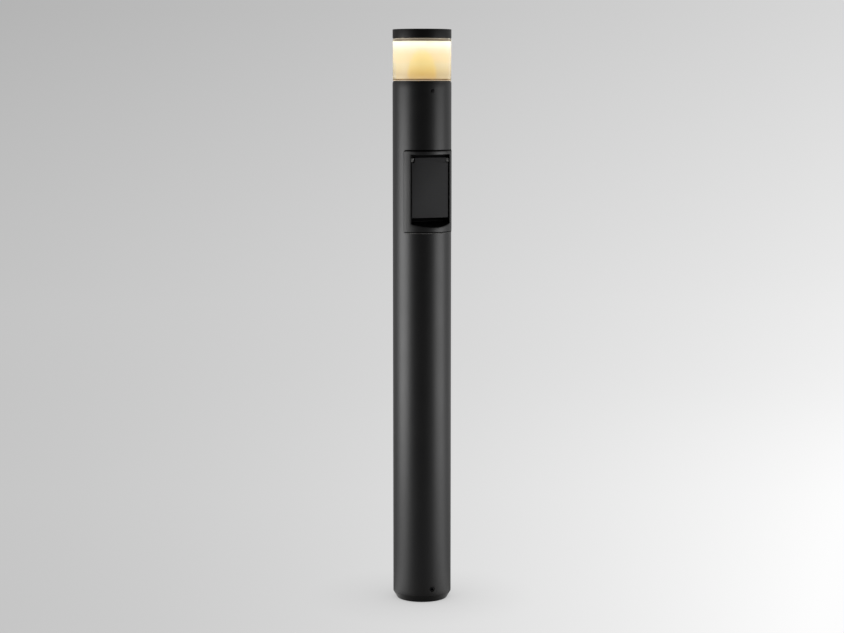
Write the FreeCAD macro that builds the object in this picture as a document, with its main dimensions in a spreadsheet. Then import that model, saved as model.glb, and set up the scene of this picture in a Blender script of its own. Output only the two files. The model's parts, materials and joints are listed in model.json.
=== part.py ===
# Bollard light with a mains socket behind a self-closing lid.
# Origin: centre of the foot's underside. +Z up, the socket faces -Y. Millimetres and degrees.
import FreeCAD, Part
import math
import os
from types import SimpleNamespace

import Sketcher
from FreeCAD import Placement, Rotation, Vector

SIZES = {
    # Pole tube, and how its two ends are held
    "tube_radius": 51.0,
    "tube_wall": 3.0,
    "tube_length": 898.0,
    "spigot_clearance": 0.4,
    "grub_azimuth": -3.0,
    "grub_count": 3,
    "grub_sink": 0.7,
    "hole_clearance": 0.6,
    "thread_clearance": 0.05,
    # Foot casting
    "foot_height": 11.5,
    "foot_chamfer": 6.8,
    "foot_spigot_length": 43.5,
    "foot_wall": 7.0,
    "foot_floor": 10.0,
    "cable_bore_radius": 14.0,
    "anchor_circle": 60.0,
    "anchor_radius": 4.5,
    "anchor_count": 4,
    "foot_grub_rise": 12.5,
    "foot_grub_radius": 4.0,
    "foot_grub_length": 9.4,
    # Head: collar, diffuser, seals and cap
    "collar_spigot_length": 39.5,
    "collar_wall": 7.6,
    "collar_floor": 4.0,
    "collar_floor_drop": 6.5,
    "collar_flange": 1.8,
    "collar_flange_inset": 1.0,
    "collar_boss_height": 3.2,
    "head_grub_drop": 14.5,
    "head_grub_radius": 2.5,
    "head_grub_length": 9.0,
    "seal_thickness": 0.7,
    "diffuser_inset": 0.5,
    "diffuser_wall": 4.0,
    "diffuser_height": 72.3,
    "fit_clearance": 0.3,
    "cap_inset": 0.2,
    "cap_edge": 0.6,
    "cap_height": 15.0,
    "cap_plate": 6.0,
    "cap_rim_wall": 5.8,
    "cap_boss_radius": 9.0,
    "cap_boss_height": 8.0,
    "cap_screw_boss": 5.0,
    # Light: carrier, board, chips, reflector and the tube that ties the head together
    "carrier_inset": 0.7,
    "carrier_thickness": 5.4,
    "board_inset": 3.8,
    "board_thickness": 1.6,
    "board_bore": 10.0,
    "board_screw_circle": 30.0,
    "board_screw_radius": 1.5,
    "board_screw_length": 14.0,
    "chip_inset": 5.0,
    "chip_count": 12,
    "chip_size": 3.6,
    "chip_height": 0.8,
    "dome_radius": 25.5,
    "dome_height": 50.0,
    "dome_shell": 1.2,
    "dome_flange": 1.5,
    "dome_flange_inset": 0.5,
    "dome_screw_inset": 3.5,
    "dome_screw_radius": 1.25,
    "dome_screw_length": 8.0,
    "tie_radius": 5.0,
    "tie_bore": 3.5,
    "tie_tail": 14.0,
    "tie_thread": 8.0,
    "tie_nut_height": 6.0,
    "tie_nut_flats": 14.0,
    "connector_height": 3.2,
    "connector_length": 6.0,
    "connector_width": 7.0,
    "tie_slot_width": 4.0,
    "tie_slot_height": 9.0,
    # Gear inside the pole: rail, junction box, driver
    "rail_front": 14.0,
    "rail_thickness": 3.0,
    "rail_half_width": 20.0,
    "rail_neck_half_width": 10.0,
    "rail_neck_height": 40.0,
    "rail_top": 440.0,
    "rail_foot_length": 19.0,
    "rail_screw_radius": 2.0,
    "rail_screw_length": 9.0,
    "rail_screw_pitch": 8.0,
    "rail_screw_start": 6.0,
    "box_half_width": 22.0,
    "box_depth": 34.0,
    "box_foot": 90.0,
    "box_height": 110.0,
    "box_wall": 2.0,
    "box_cover": 2.0,
    "box_screw_radius": 1.5,
    "box_screw_length": 9.0,
    "box_screw_inset": 5.0,
    "box_boss_half": 4.0,
    "box_fixing_inset": 14.0,
    "terminal_half_width": 14.0,
    "terminal_depth": 13.0,
    "terminal_height": 44.0,
    "terminal_poles": 3,
    "terminal_hole_offset": 7.0,
    "terminal_hole_radius": 2.2,
    "terminal_hole_depth": 6.0,
    "gland_radius": 7.8,
    "gland_bore": 5.5,
    "gland_hex": 22.0,
    "gland_nut": 4.0,
    "gland_axis": 4.0,
    "gland_barrel": 14.0,
    "gland_collar": 6.0,
    "gland_dome": 12.0,
    "gland_drop": 20.0,
    "driver_left": -5.0,
    "driver_width": 26.0,
    "driver_depth": 26.0,
    "driver_foot": 290.0,
    "driver_height": 130.0,
    "driver_tab": 9.0,
    "driver_tab_thickness": 2.5,
    "driver_tab_inset": 6.0,
    # Leads
    "driver_lead_radius": 3.3,
    "socket_lead_radius": 3.3,
    "led_lead_radius": 1.6,
    "driver_lead_x": 6.0,
    "socket_lead_x": -9.5,
    "led_lead_x": 8.0,
    "led_lead_side": 30.0,
    "led_lead_back": 13.0,
    "lead_bend": 60.0,
    "lead_grip": 0.2,
    "lead_tail": 8.0,
    "lead_rise": 20.0,
    "lead_crossing": 140.0,
    "led_lead_rise": 50.0,
    "led_lead_crossing": 80.0,
    "led_lead_return": 18.0,
    # Window in the tube, and the bezel that fills it
    "window_drop": 118.5,
    "window_height": 137.0,
    "window_side_margin": 5.5,
    "window_corner": 4.0,
    "lip_stand": 1.0,
    "lip_side_overlap": 2.5,
    "lip_end_overlap": 3.5,
    "bezel_side": 6.3,
    "opening_head": 4.5,
    "sill_height": 7.0,
    "sill_slope": 0.39,
    "ledge_recess": 21.0,
    "ledge_width": 3.7,
    "ledge_thickness": 2.5,
    "chamber_head": 4.5,
    "ear_half_height": 5.0,
    "ear_width": 8.0,
    "ear_upper": 106.0,
    "ear_lower": 41.0,
    "bezel_screw_radius": 1.5,
    "bezel_screw_length": 13.0,
    "ear_inset": 3.5,
    "gasket_thickness": 1.0,
    # Socket box behind the bezel
    "tub_wall": 2.0,
    "tub_back": 3.0,
    "boss_depth": 16.0,
    "web_setback": 7.5,
    "web_thickness": 2.0,
    "window_gasket_thickness": 1.2,
    "flange_wall": 2.3,
    "flange_end_overlap": 7.0,
    "flange_side_depth": 8.0,
    # Lid and hinge
    "lid_side_gap": 2.0,
    "lid_head_gap": 5.5,
    "lid_height": 104.0,
    "lid_recess": 16.0,
    "lid_thickness": 3.0,
    "hinge_drop": 4.0,
    "barrel_radius": 2.3,
    "notch_width": 4.8,
    "notch_height": 8.5,
    "pin_radius": 1.0,
    "running_clearance": 0.05,
    "bracket_gap": 0.9,
    "bracket_inset": 0.5,
    "bracket_below": 3.5,
    "bracket_above": 3.1,
    "peg_radius": 1.2,
    "spring_radius": 1.55,
    "spring_half_length": 5.0,
    "spring_clearance": 0.1,
    "lid_seal_width": 1.4,
    "finger_lip_height": 4.0,
    "finger_lip_depth": 1.2,
    "finger_lip_rise": 3.0,
    "finger_lip_half_width": 12.0,
    # Socket insert, as a 50 mm square centre plate with a round recess
    "insert_rise": 88.0,
    "insert_half_width": 25.0,
    "insert_plate": 3.0,
    "insert_radius": 22.5,
    "insert_rear_space": 18.0,
    "insert_screw_offset": 19.0,
    "insert_screw_radius": 1.25,
    "insert_screw_length": 6.5,
    "recess_radius": 19.75,
    "recess_depth": 17.5,
    "recess_floor": 2.5,
    "rear_bore": 20.0,
    "contact_offset": 9.5,
    "contact_hole": 2.95,
    "contact_radius": 3.3,
    "contact_bore": 2.45,
    "contact_tail": 4.5,
    "guide_reach": 3.0,
    "guide_half_height": 2.2,
    "shutter_radius": 14.0,
    "shutter_thickness": 2.0,
    "shutter_gap": 1.0,
    "shutter_half_width": 3.3,
    "shutter_hub": 4.5,
    "pivot_radius": 1.95,
    "earth_offset": 18.5,
    "earth_half_width": 2.5,
    "earth_thickness": 1.0,
    "earth_front_gap": 4.0,
    "rear_cover_depth": 9.0,
    "rear_cover_wall": 2.0,
    "terminal_screw_radius": 1.5,
    "terminal_screw_length": 5.0,
    "terminal_setback": 4.5,
    "terminal_tap_setback": 2.0,
}

doc = FreeCAD.newDocument("bollard_light_with_socket")
sheet = doc.addObject("Spreadsheet::Sheet", "Sizes")
for row, (alias, number) in enumerate(SIZES.items(), start=1):
    sheet.set(f"A{row}", alias)
    sheet.set(f"B{row}", str(number))
    sheet.setAlias(f"B{row}", alias)
doc.recompute()


class Size:
    """A number together with the formula that ties it to the sheet."""

    def __init__(self, formula, value):
        self.formula = formula
        self.value = value

    def __add__(self, other):
        return Size(f"({self.formula} + {size(other).formula})", self.value + size(other).value)

    def __sub__(self, other):
        return Size(f"({self.formula} - {size(other).formula})", self.value - size(other).value)

    def __mul__(self, other):
        return Size(f"({self.formula} * {size(other).formula})", self.value * size(other).value)

    def __truediv__(self, other):
        return Size(f"({self.formula} / {size(other).formula})", self.value / size(other).value)

    def __neg__(self):
        return Size(f"(0 - {self.formula})", -self.value)

    def __radd__(self, other):
        return size(other) + self

    def __rsub__(self, other):
        return size(other) - self

    def __rmul__(self, other):
        return size(other) * self

    def __rtruediv__(self, other):
        return size(other) / self


def size(value):
    """A plain number as a Size; a Size stays as it is."""
    return value if isinstance(value, Size) else Size(f"{value:.9g}", value)


s = SimpleNamespace(**{alias: Size(f"Sizes.{alias}", number) for alias, number in SIZES.items()})

UP, DOWN = (0, 0, 1), (0, 0, -1)
FRONT, BACK = (0, -1, 0), (0, 1, 0)
nodes = {}


# Helpers: each makes one document object whose sizes are bound to the sheet
def bind(obj, prop, value):
    obj.setExpression(prop, size(value).formula)


def place(obj, point, rotation=None):
    """Put an object at a point, with its three coordinates bound."""
    values = [size(c).value for c in point]
    obj.Placement = Placement(Vector(*values), rotation or Rotation())
    for axis, coordinate in zip("xyz", point):
        bind(obj, f"Placement.Base.{axis}", coordinate)
    return obj


def shift(point, direction, distance):
    """The point moved along a unit direction."""
    return tuple(size(p) + size(u) * distance for p, u in zip(point, direction))


def around(angle, radius):
    """X and Y of a point on a circle, with the angle counted from the front towards +X."""
    turn = size(angle)
    sine = Size(f"sin({turn.formula})", math.sin(math.radians(turn.value)))
    cosine = Size(f"cos({turn.formula})", math.cos(math.radians(turn.value)))
    return sine * radius, -(cosine * radius)


def outward(angle):
    return (*around(angle, 1), size(0))


def block(name, x, y, z):
    """A box between two values on each axis."""
    obj = doc.addObject("Part::Box", name)
    for prop, (low, high) in zip(("Length", "Width", "Height"), (x, y, z)):
        bind(obj, prop, size(high) - low)
    return place(obj, (x[0], y[0], z[0]))


def rod(name, radius, start, direction, length):
    """A cylinder from a start point along a direction."""
    obj = doc.addObject("Part::Cylinder", name)
    bind(obj, "Radius", radius)
    bind(obj, "Height", length)
    aim = Vector(*[size(u).value for u in direction])
    return place(obj, start, Rotation(Vector(0, 0, 1), aim))


def cone(name, radius_start, radius_end, start, direction, length):
    obj = doc.addObject("Part::Cone", name)
    bind(obj, "Radius1", radius_start)
    bind(obj, "Radius2", radius_end)
    bind(obj, "Height", length)
    aim = Vector(*[size(u).value for u in direction])
    return place(obj, start, Rotation(Vector(0, 0, 1), aim))


def hexagon(name, flats, start, direction, length):
    """A hexagonal prism, given across its flats."""
    obj = doc.addObject("Part::Prism", name)
    obj.Polygon = 6
    bind(obj, "Circumradius", size(flats) / math.sqrt(3))
    bind(obj, "Height", length)
    aim = Vector(*[size(u).value for u in direction])
    return place(obj, start, Rotation(Vector(0, 0, 1), aim))


def fuse(name, *shapes):
    obj = doc.addObject("Part::MultiFuse", name)
    obj.Shapes = list(shapes)
    return obj


def cut(name, base, *tools):
    obj = doc.addObject("Part::Cut", name)
    obj.Base = base
    obj.Tool = tools[0] if len(tools) == 1 else fuse(f"{name}_tools", *tools)
    return obj


def common(name, first, second):
    obj = doc.addObject("Part::MultiCommon", name)
    obj.Shapes = [first, second]
    return obj


def group(name, members):
    obj = doc.addObject("Part::Compound", name)
    obj.Links = list(members)
    return obj


def keep(obj, label=None):
    """Register an object as a sub-part under its own label."""
    obj.Label = label or obj.Name
    nodes[obj.Label] = obj
    return obj


def sketch_on(body, role, points):
    """A closed outline on an origin plane, each corner tied to the sheet by its two coordinates."""
    sketch = body.newObject("Sketcher::SketchObject", f"{body.Name}_outline")
    plane = [f for f in body.Origin.OriginFeatures if f.Role == role][0]
    sketch.AttachmentSupport = [(plane, "")]
    sketch.MapMode = "FlatFace"
    corners = [Vector(size(u).value, size(v).value, 0) for u, v in points]
    count = len(corners)
    for i in range(count):
        sketch.addGeometry(Part.LineSegment(corners[i], corners[(i + 1) % count]), False)
    for i in range(count):
        sketch.addConstraint(Sketcher.Constraint("Coincident", i, 2, (i + 1) % count, 1))
    for i, (u, v) in enumerate(points):
        for kind, axis, coordinate in (("DistanceX", -2, size(u)), ("DistanceY", -1, size(v))):
            if abs(coordinate.value) < 1e-9:
                sketch.addConstraint(Sketcher.Constraint("PointOnObject", i, 1, axis))
                continue
            index = sketch.addConstraint(Sketcher.Constraint(kind, -1, 1, i, 1, coordinate.value))
            sketch.renameConstraint(index, f"{kind[-1].lower()}_{i}")
            sketch.setExpression(f"Constraints.{kind[-1].lower()}_{i}", coordinate.formula)
    return sketch


def turned(name, profile):
    """A body turned about Z from a closed profile of (radius, height) corners."""
    body = doc.addObject("PartDesign::Body", name)
    sketch = sketch_on(body, "XZ_Plane", profile)
    turn = body.newObject("PartDesign::Revolution", f"{name}_turn")
    turn.Profile = sketch
    turn.ReferenceAxis = (sketch, ["V_Axis"])
    turn.Angle = 360.0
    body.Tip = turn
    return body


def prism(name, role, points, start, length, corner=None):
    """A padded outline. XZ outlines grow towards the front, YZ ones to +X, XY ones up."""
    body = doc.addObject("PartDesign::Body", name)
    sketch = sketch_on(body, role, points)
    bind(sketch, "AttachmentOffset.Base.z", start)
    pad = body.newObject("PartDesign::Pad", f"{name}_pad")
    pad.Profile = sketch
    bind(pad, "Length", length)
    body.Tip = pad
    if corner is None:
        return body
    doc.recompute()
    normal = {"XZ_Plane": Vector(0, 1, 0), "YZ_Plane": Vector(1, 0, 0), "XY_Plane": Vector(0, 0, 1)}[role]
    edges = [
        f"Edge{i}"
        for i, edge in enumerate(pad.Shape.Edges, start=1)
        if abs(abs(edge.tangentAt(edge.FirstParameter).dot(normal)) - 1) < 1e-6
    ]
    fillet = body.newObject("PartDesign::Fillet", f"{name}_corners")
    fillet.Base = (pad, edges)
    bind(fillet, "Radius", corner)
    body.Tip = fillet
    return body


def panel(name, half_width, low, high, start, length, corner=None):
    """A block seen from the front: its width about the centre line, its two heights and its depths."""
    outline = [(-size(half_width), low), (half_width, low), (half_width, high), (-size(half_width), high)]
    return prism(name, "XZ_Plane", outline, start, length, corner)


def profile(name, points, half_width):
    """A side profile of (depth towards the front, height) corners, run across the centre line."""
    outline = [(-size(depth), height) for depth, height in points]
    return prism(name, "YZ_Plane", outline, -size(half_width), size(half_width) * 2)


def grub_screw(name, outer_end, direction, radius, length):
    """A set screw that points inwards, with a hexagon socket in its outer end."""
    shank = rod(f"{name}_shank", radius, outer_end, direction, length)
    key = hexagon(f"{name}_key", size(radius) * 1.0, outer_end, direction, size(length) * 0.45)
    return cut(name, shank, key)


def screw(name, seat, direction, radius, length):
    """A pan-head screw: its head stands on the seat and its shank runs along the direction."""
    shank = rod(f"{name}_shank", radius, seat, direction, length)
    top = shift(seat, direction, size(radius) * -1.2)
    head = rod(f"{name}_head", size(radius) * 1.85, top, direction, size(radius) * 1.2)
    key = hexagon(f"{name}_key", size(radius) * 1.5, top, direction, size(radius) * 0.9)
    return cut(name, fuse(f"{name}_blank", shank, head), key)


def flush_screw(name, face, direction, radius, length):
    """A countersunk screw whose head is level with the face."""
    head = cone(f"{name}_head", size(radius) * 2, radius, face, direction, radius)
    shank = rod(f"{name}_shank", radius, face, direction, length)
    key = hexagon(f"{name}_key", size(radius) * 1.3, face, direction, size(radius) * 0.8)
    return cut(name, fuse(f"{name}_blank", head, shank), key)


def lead(name, radius, points, bend):
    """A round cable through the points, its corners rounded by arcs of the bend radius."""
    path = [Vector(*[size(c).value for c in p]) for p in points]
    edges = []
    here = path[0]
    for before, corner, after in zip(path, path[1:], path[2:]):
        into = (corner - before).normalize()
        out = (after - corner).normalize()
        half_turn = into.getAngle(out) / 2
        setback = bend.value * math.tan(half_turn)
        start, end = corner - into * setback, corner + out * setback
        inside = (out - into).normalize()
        middle = corner + inside * (bend.value / math.cos(half_turn) - bend.value)
        edges += [Part.LineSegment(here, start).toShape(), Part.Arc(start, middle, end).toShape()]
        here = end
    edges.append(Part.LineSegment(here, path[-1]).toShape())
    spine = Part.Wire(edges)
    ring = Part.Wire([Part.makeCircle(radius.value, path[0], path[1] - path[0])])
    obj = doc.addObject("Part::Feature", name)
    obj.Shape = spine.makePipeShell([ring], True, False)
    obj.Placement = Placement()
    plain_volume = math.pi * radius.value ** 2 * spine.Length
    print(f"{name}: bend radius {bend.value:.1f}, length {spine.Length:.1f},",
          f"volume against section times length {obj.Shape.Volume / plain_volume:.4f}")
    return obj


# Heights and depths that several pieces share
tube_bore = s.tube_radius - s.tube_wall
tube_foot = s.foot_height
tube_top = tube_foot + s.tube_length
spigot_radius = tube_bore - s.spigot_clearance
foot_base_radius = s.tube_radius - s.foot_chamfer
collar_flange_radius = s.tube_radius - s.collar_flange_inset
diffuser_radius = s.tube_radius - s.diffuser_inset
cap_radius = s.tube_radius - s.cap_inset
flange_top = tube_top + s.collar_flange
boss_top = flange_top + s.collar_boss_height
diffuser_foot = flange_top + s.seal_thickness
diffuser_top = diffuser_foot + s.diffuser_height
diffuser_bore = diffuser_radius - s.diffuser_wall
carrier_radius = diffuser_bore - s.carrier_inset
board_radius = carrier_radius - s.board_inset
chip_circle = board_radius - s.chip_inset
dome_screw_circle = diffuser_bore - s.dome_screw_inset
cap_foot = diffuser_top + s.seal_thickness
cap_top = cap_foot + s.cap_height
cap_ceiling = cap_top - s.cap_plate
collar_bore = spigot_radius - s.collar_wall
collar_floor_top = tube_top - s.collar_floor_drop
collar_floor_foot = collar_floor_top - s.collar_floor
carrier_foot = cap_foot - s.carrier_thickness
board_foot = carrier_foot - s.board_thickness
foot_bore = spigot_radius - s.foot_wall
foot_grub_height = tube_foot + s.foot_grub_rise
head_grub_height = tube_top - s.head_grub_drop
grub_angles = [s.grub_azimuth + 360 / s.grub_count * i for i in range(SIZES["grub_count"])]
anchor_angles = [45 + 360 / s.anchor_count * i for i in range(SIZES["anchor_count"])]
thirds = [60 + 120 * i for i in range(3)]

rail_back = s.rail_front + s.rail_thickness
rail_screw_ys = [rail_back + s.rail_screw_start, rail_back + s.rail_screw_start + s.rail_screw_pitch]
box_front = s.rail_front - s.box_depth
box_top = s.box_foot + s.box_height
driver_right = s.driver_left + s.driver_width
driver_top = s.driver_foot + s.driver_height
box_fixing_heights = [s.box_foot + s.box_fixing_inset, box_top - s.box_fixing_inset]

window_top = tube_top - s.window_drop
window_foot = window_top - s.window_height
window_half_width = tube_bore - s.window_side_margin
opening_half_width = window_half_width - s.bezel_side
chamber_half_width = opening_half_width - s.ledge_width
ledge_depth = s.tube_radius - s.ledge_recess
lid_front = s.tube_radius - s.lid_recess
hinge_depth = lid_front - s.barrel_radius
flange_radius = tube_bore - s.window_gasket_thickness
lip_radius = s.tube_radius + s.lip_stand
plug_half_width = window_half_width - s.fit_clearance
plug_foot = window_foot + s.fit_clearance
plug_top = window_top - s.fit_clearance
opening_top = window_top - s.opening_head
chamber_top = opening_top - s.chamber_head
ledge_back = ledge_depth - s.ledge_thickness
web_depth = ledge_back - s.web_setback
flange_reach = web_depth - s.flange_side_depth
tub_front = ledge_back - s.gasket_thickness
tub_half_width = chamber_half_width + s.tub_wall
ear_heights = [window_foot + s.ear_upper, window_foot + s.ear_lower]
ear_x = chamber_half_width - s.ear_inset
lid_half_width = opening_half_width - s.lid_side_gap
lid_top = opening_top - s.lid_head_gap
lid_foot = lid_top - s.lid_height
lid_back = lid_front - s.lid_thickness
hinge_height = lid_top - s.hinge_drop
notch_x = lid_half_width - s.notch_width
notch_foot = lid_top - s.notch_height
bracket_inner = notch_x + s.bracket_gap
bracket_outer = opening_half_width - s.bracket_inset
bracket_foot = hinge_height - s.bracket_below
bracket_top = hinge_height + s.bracket_above

insert_height = window_foot + s.insert_rise
plate_back = -s.gasket_thickness
plate_front = plate_back - s.insert_plate
insert_back = tube_bore - s.insert_rear_space
recess_end = plate_front + s.recess_depth
floor_back = recess_end + s.recess_floor
shutter_front = floor_back + s.shutter_gap
shutter_back = shutter_front + s.shutter_thickness
carrier_front = shutter_back + s.shutter_gap
cover_back = insert_back + s.rear_cover_depth
terminal_y = insert_back + s.terminal_setback


def sill_at(depth):
    """Height of the sloped drain floor at a depth in front of the pole's axis."""
    return window_foot + s.sill_height + (lip_radius - depth) * s.sill_slope


# Foot: a turned casting that the tube stands on, drilled for anchors, grub screws and the rail
def make_foot_casting():
    blank = turned("foot_blank", [
        (s.cable_bore_radius, 0), (foot_base_radius, 0), (s.tube_radius, tube_foot),
        (spigot_radius, tube_foot), (spigot_radius, tube_foot + s.foot_spigot_length),
        (foot_bore, tube_foot + s.foot_spigot_length), (foot_bore, s.foot_floor),
        (s.cable_bore_radius, s.foot_floor),
    ])
    holes = []
    for i, angle in enumerate(anchor_angles):
        x, y = around(angle, s.anchor_circle / 2)
        holes.append(rod(f"anchor_hole_{i}", s.anchor_radius, (x, y, -1), UP, s.foot_floor + 2))
    for i, angle in enumerate(grub_angles):
        start = shift((0, 0, foot_grub_height), outward(angle), foot_bore - 1)
        radius = s.foot_grub_radius + s.thread_clearance
        holes.append(rod(f"foot_thread_{i}", radius, start, outward(angle), s.foot_wall + 2))
    for i, y in enumerate(rail_screw_ys):
        start = (0, y, s.foot_floor - 7)
        holes.append(rod(f"rail_thread_{i}", s.rail_screw_radius + s.thread_clearance, start, UP, 8))
    keep(cut("foot_casting", blank, *holes))


def make_foot_set_screws():
    start = s.tube_radius - s.grub_sink
    screws = []
    for i, angle in enumerate(grub_angles):
        inwards = tuple(-u for u in outward(angle))
        outer = shift((0, 0, foot_grub_height), outward(angle), start)
        screws.append(grub_screw(f"foot_grub_{i}", outer, inwards, s.foot_grub_radius, s.foot_grub_length))
    keep(group("foot_set_screws", screws))


# Pole: one drawn tube with the socket window and two rows of screw holes
def make_pole_tube():
    outer = rod("tube_outside", s.tube_radius, (0, 0, tube_foot), UP, s.tube_length)
    inner = rod("tube_inside", tube_bore, (0, 0, tube_foot - 1), UP, s.tube_length + 2)
    window = panel("tube_window", window_half_width, window_foot, window_top,
                   0, s.tube_radius + 5, s.window_corner)
    holes = []
    for height, radius in ((foot_grub_height, s.foot_grub_radius), (head_grub_height, s.head_grub_radius)):
        for i, angle in enumerate(grub_angles):
            start = shift((0, 0, height), outward(angle), tube_bore - 2)
            holes.append(rod("tube_hole", radius + s.hole_clearance, start, outward(angle), s.tube_wall + 4))
    keep(cut("pole_tube", outer, inner, window, *holes))


# Rail: a flat bar that stands on the foot's floor and carries the gear
def make_gear_rail():
    bar = block("rail_bar", (-s.rail_half_width, s.rail_half_width), (s.rail_front, rail_back),
                (s.rail_neck_height, s.rail_top))
    neck = block("rail_neck", (-s.rail_neck_half_width, s.rail_neck_half_width), (s.rail_front, rail_back),
                 (s.foot_floor, s.rail_neck_height))
    shoe = block("rail_shoe", (-s.rail_neck_half_width, s.rail_neck_half_width),
                 (s.rail_front, rail_back + s.rail_foot_length),
                 (s.foot_floor, s.foot_floor + s.rail_thickness))
    holes = [
        rod(f"rail_shoe_hole_{i}", s.rail_screw_radius + s.hole_clearance / 2, (0, y, s.foot_floor - 1), UP,
            s.rail_thickness + 2)
        for i, y in enumerate(rail_screw_ys)
    ]
    thread = s.rail_screw_radius + s.thread_clearance
    for i, height in enumerate(box_fixing_heights):
        holes.append(rod(f"rail_box_hole_{i}", thread, (0, s.rail_front - 1, height), BACK,
                         s.rail_thickness + 2))
    for i, height in enumerate((s.driver_foot - s.driver_tab / 2, driver_top + s.driver_tab / 2)):
        x = s.driver_left + s.driver_width / 2
        holes.append(rod(f"rail_driver_hole_{i}", thread, (x, s.rail_front - 1, height), BACK,
                         s.rail_thickness + 2))
    keep(cut("gear_rail", fuse("rail_blank", bar, neck, shoe), *holes))


def make_rail_screws():
    seat_height = s.foot_floor + s.rail_thickness
    keep(group("rail_screws", [
        screw(f"rail_screw_{i}", (0, y, seat_height), DOWN, s.rail_screw_radius, s.rail_screw_length)
        for i, y in enumerate(rail_screw_ys)
    ]))


# Junction box: an open tray on the rail, closed by a screwed cover, with the supply gland below
def box_corners():
    x = s.box_half_width - s.box_screw_inset
    heights = (s.box_foot + s.box_screw_inset, box_top - s.box_screw_inset)
    return [(side, height) for side in (-x, x) for height in heights]


def make_junction_box():
    outside = block("box_outside", (-s.box_half_width, s.box_half_width), (box_front, s.rail_front),
                    (s.box_foot, box_top))
    inner_x = s.box_half_width - s.box_wall
    inside = block("box_inside", (-inner_x, inner_x), (box_front - 1, s.rail_front - s.box_wall),
                   (s.box_foot + s.box_wall, box_top - s.box_wall))
    bosses = [
        block(f"box_boss_{i}", (x - s.box_boss_half, x + s.box_boss_half),
              (box_front, s.rail_front - s.box_wall), (height - s.box_boss_half, height + s.box_boss_half))
        for i, (x, height) in enumerate(box_corners())
    ]
    shell = fuse("box_shell", cut("box_tray", outside, inside), *bosses)
    holes = [
        rod(f"box_thread_{i}", s.box_screw_radius + s.thread_clearance, (x, box_front - 1, height), BACK, 12)
        for i, (x, height) in enumerate(box_corners())
    ]
    for i, height in enumerate(box_fixing_heights):
        holes.append(rod(f"box_fixing_hole_{i}", s.rail_screw_radius + s.hole_clearance / 2,
                         (0, s.rail_front - s.box_wall - 1, height), BACK, s.box_wall + 2))
    entry = s.box_wall + 2
    holes.append(rod("gland_hole", s.gland_radius + s.thread_clearance, (0, -s.gland_axis, s.box_foot - 1),
                     UP, entry))
    for x, radius in ((s.driver_lead_x, s.driver_lead_radius), (s.socket_lead_x, s.socket_lead_radius)):
        holes.append(rod("lead_hole", radius + s.lead_grip, (x, 0, box_top - s.box_wall - 1), UP, entry))
    keep(cut("junction_box", shell, *holes))


def make_junction_cover():
    plate = block("cover_plate", (-s.box_half_width, s.box_half_width), (box_front - s.box_cover, box_front),
                  (s.box_foot, box_top))
    holes = [
        rod(f"cover_hole_{i}", s.box_screw_radius + s.hole_clearance / 2,
            (x, box_front - s.box_cover - 1, height), BACK, s.box_cover + 2)
        for i, (x, height) in enumerate(box_corners())
    ]
    keep(cut("junction_cover", plate, *holes))
    keep(group("junction_cover_screws", [
        screw(f"cover_screw_{i}", (x, box_front - s.box_cover, height), BACK, s.box_screw_radius,
              s.box_screw_length)
        for i, (x, height) in enumerate(box_corners())
    ]))


def make_box_fixing_screws():
    keep(group("box_fixing_screws", [
        screw(f"box_fixing_{i}", (0, s.rail_front - s.box_wall, height), BACK, s.rail_screw_radius,
              s.box_wall + s.rail_thickness)
        for i, height in enumerate(box_fixing_heights)
    ]))


def make_terminal_strip():
    back = s.rail_front - s.box_wall
    middle = s.box_foot + s.box_height / 2
    base = block("strip_base", (-s.terminal_half_width, s.terminal_half_width), (back - s.terminal_depth, back),
                 (middle - s.terminal_height / 2, middle + s.terminal_height / 2))
    pitch = s.terminal_height / s.terminal_poles
    holes = []
    for i in range(SIZES["terminal_poles"]):
        height = middle + pitch * (i - (SIZES["terminal_poles"] - 1) / 2)
        for side in (-s.terminal_hole_offset, s.terminal_hole_offset):
            start = (side, back - s.terminal_depth - 1, height)
            holes.append(rod("clamp_hole", s.terminal_hole_radius, start, BACK, s.terminal_hole_depth + 1))
    keep(cut("terminal_strip", base, *holes))


def make_inlet_gland():
    nut_seat = s.box_foot + s.box_wall
    y = -s.gland_axis
    barrel = rod("gland_barrel", s.gland_radius, (0, y, s.box_foot - s.gland_barrel), UP,
                 s.gland_barrel + s.box_wall + s.gland_nut)
    body_hex = hexagon("gland_body_hex", s.gland_hex, (0, y, s.box_foot - s.gland_collar), UP, s.gland_collar)
    dome_nut = hexagon("gland_dome_nut", s.gland_hex, (0, y, s.box_foot - s.gland_drop), UP, s.gland_dome)
    lock_nut = hexagon("gland_lock_nut", s.gland_hex - 2, (0, y, nut_seat), UP, s.gland_nut)
    bore = rod("gland_bore_cut", s.gland_bore, (0, y, s.box_foot - s.gland_drop - 1), UP,
               s.gland_drop + s.box_wall + s.gland_nut + 2)
    keep(cut("inlet_gland", fuse("gland_blank", barrel, body_hex, dome_nut, lock_nut), bore))


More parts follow.
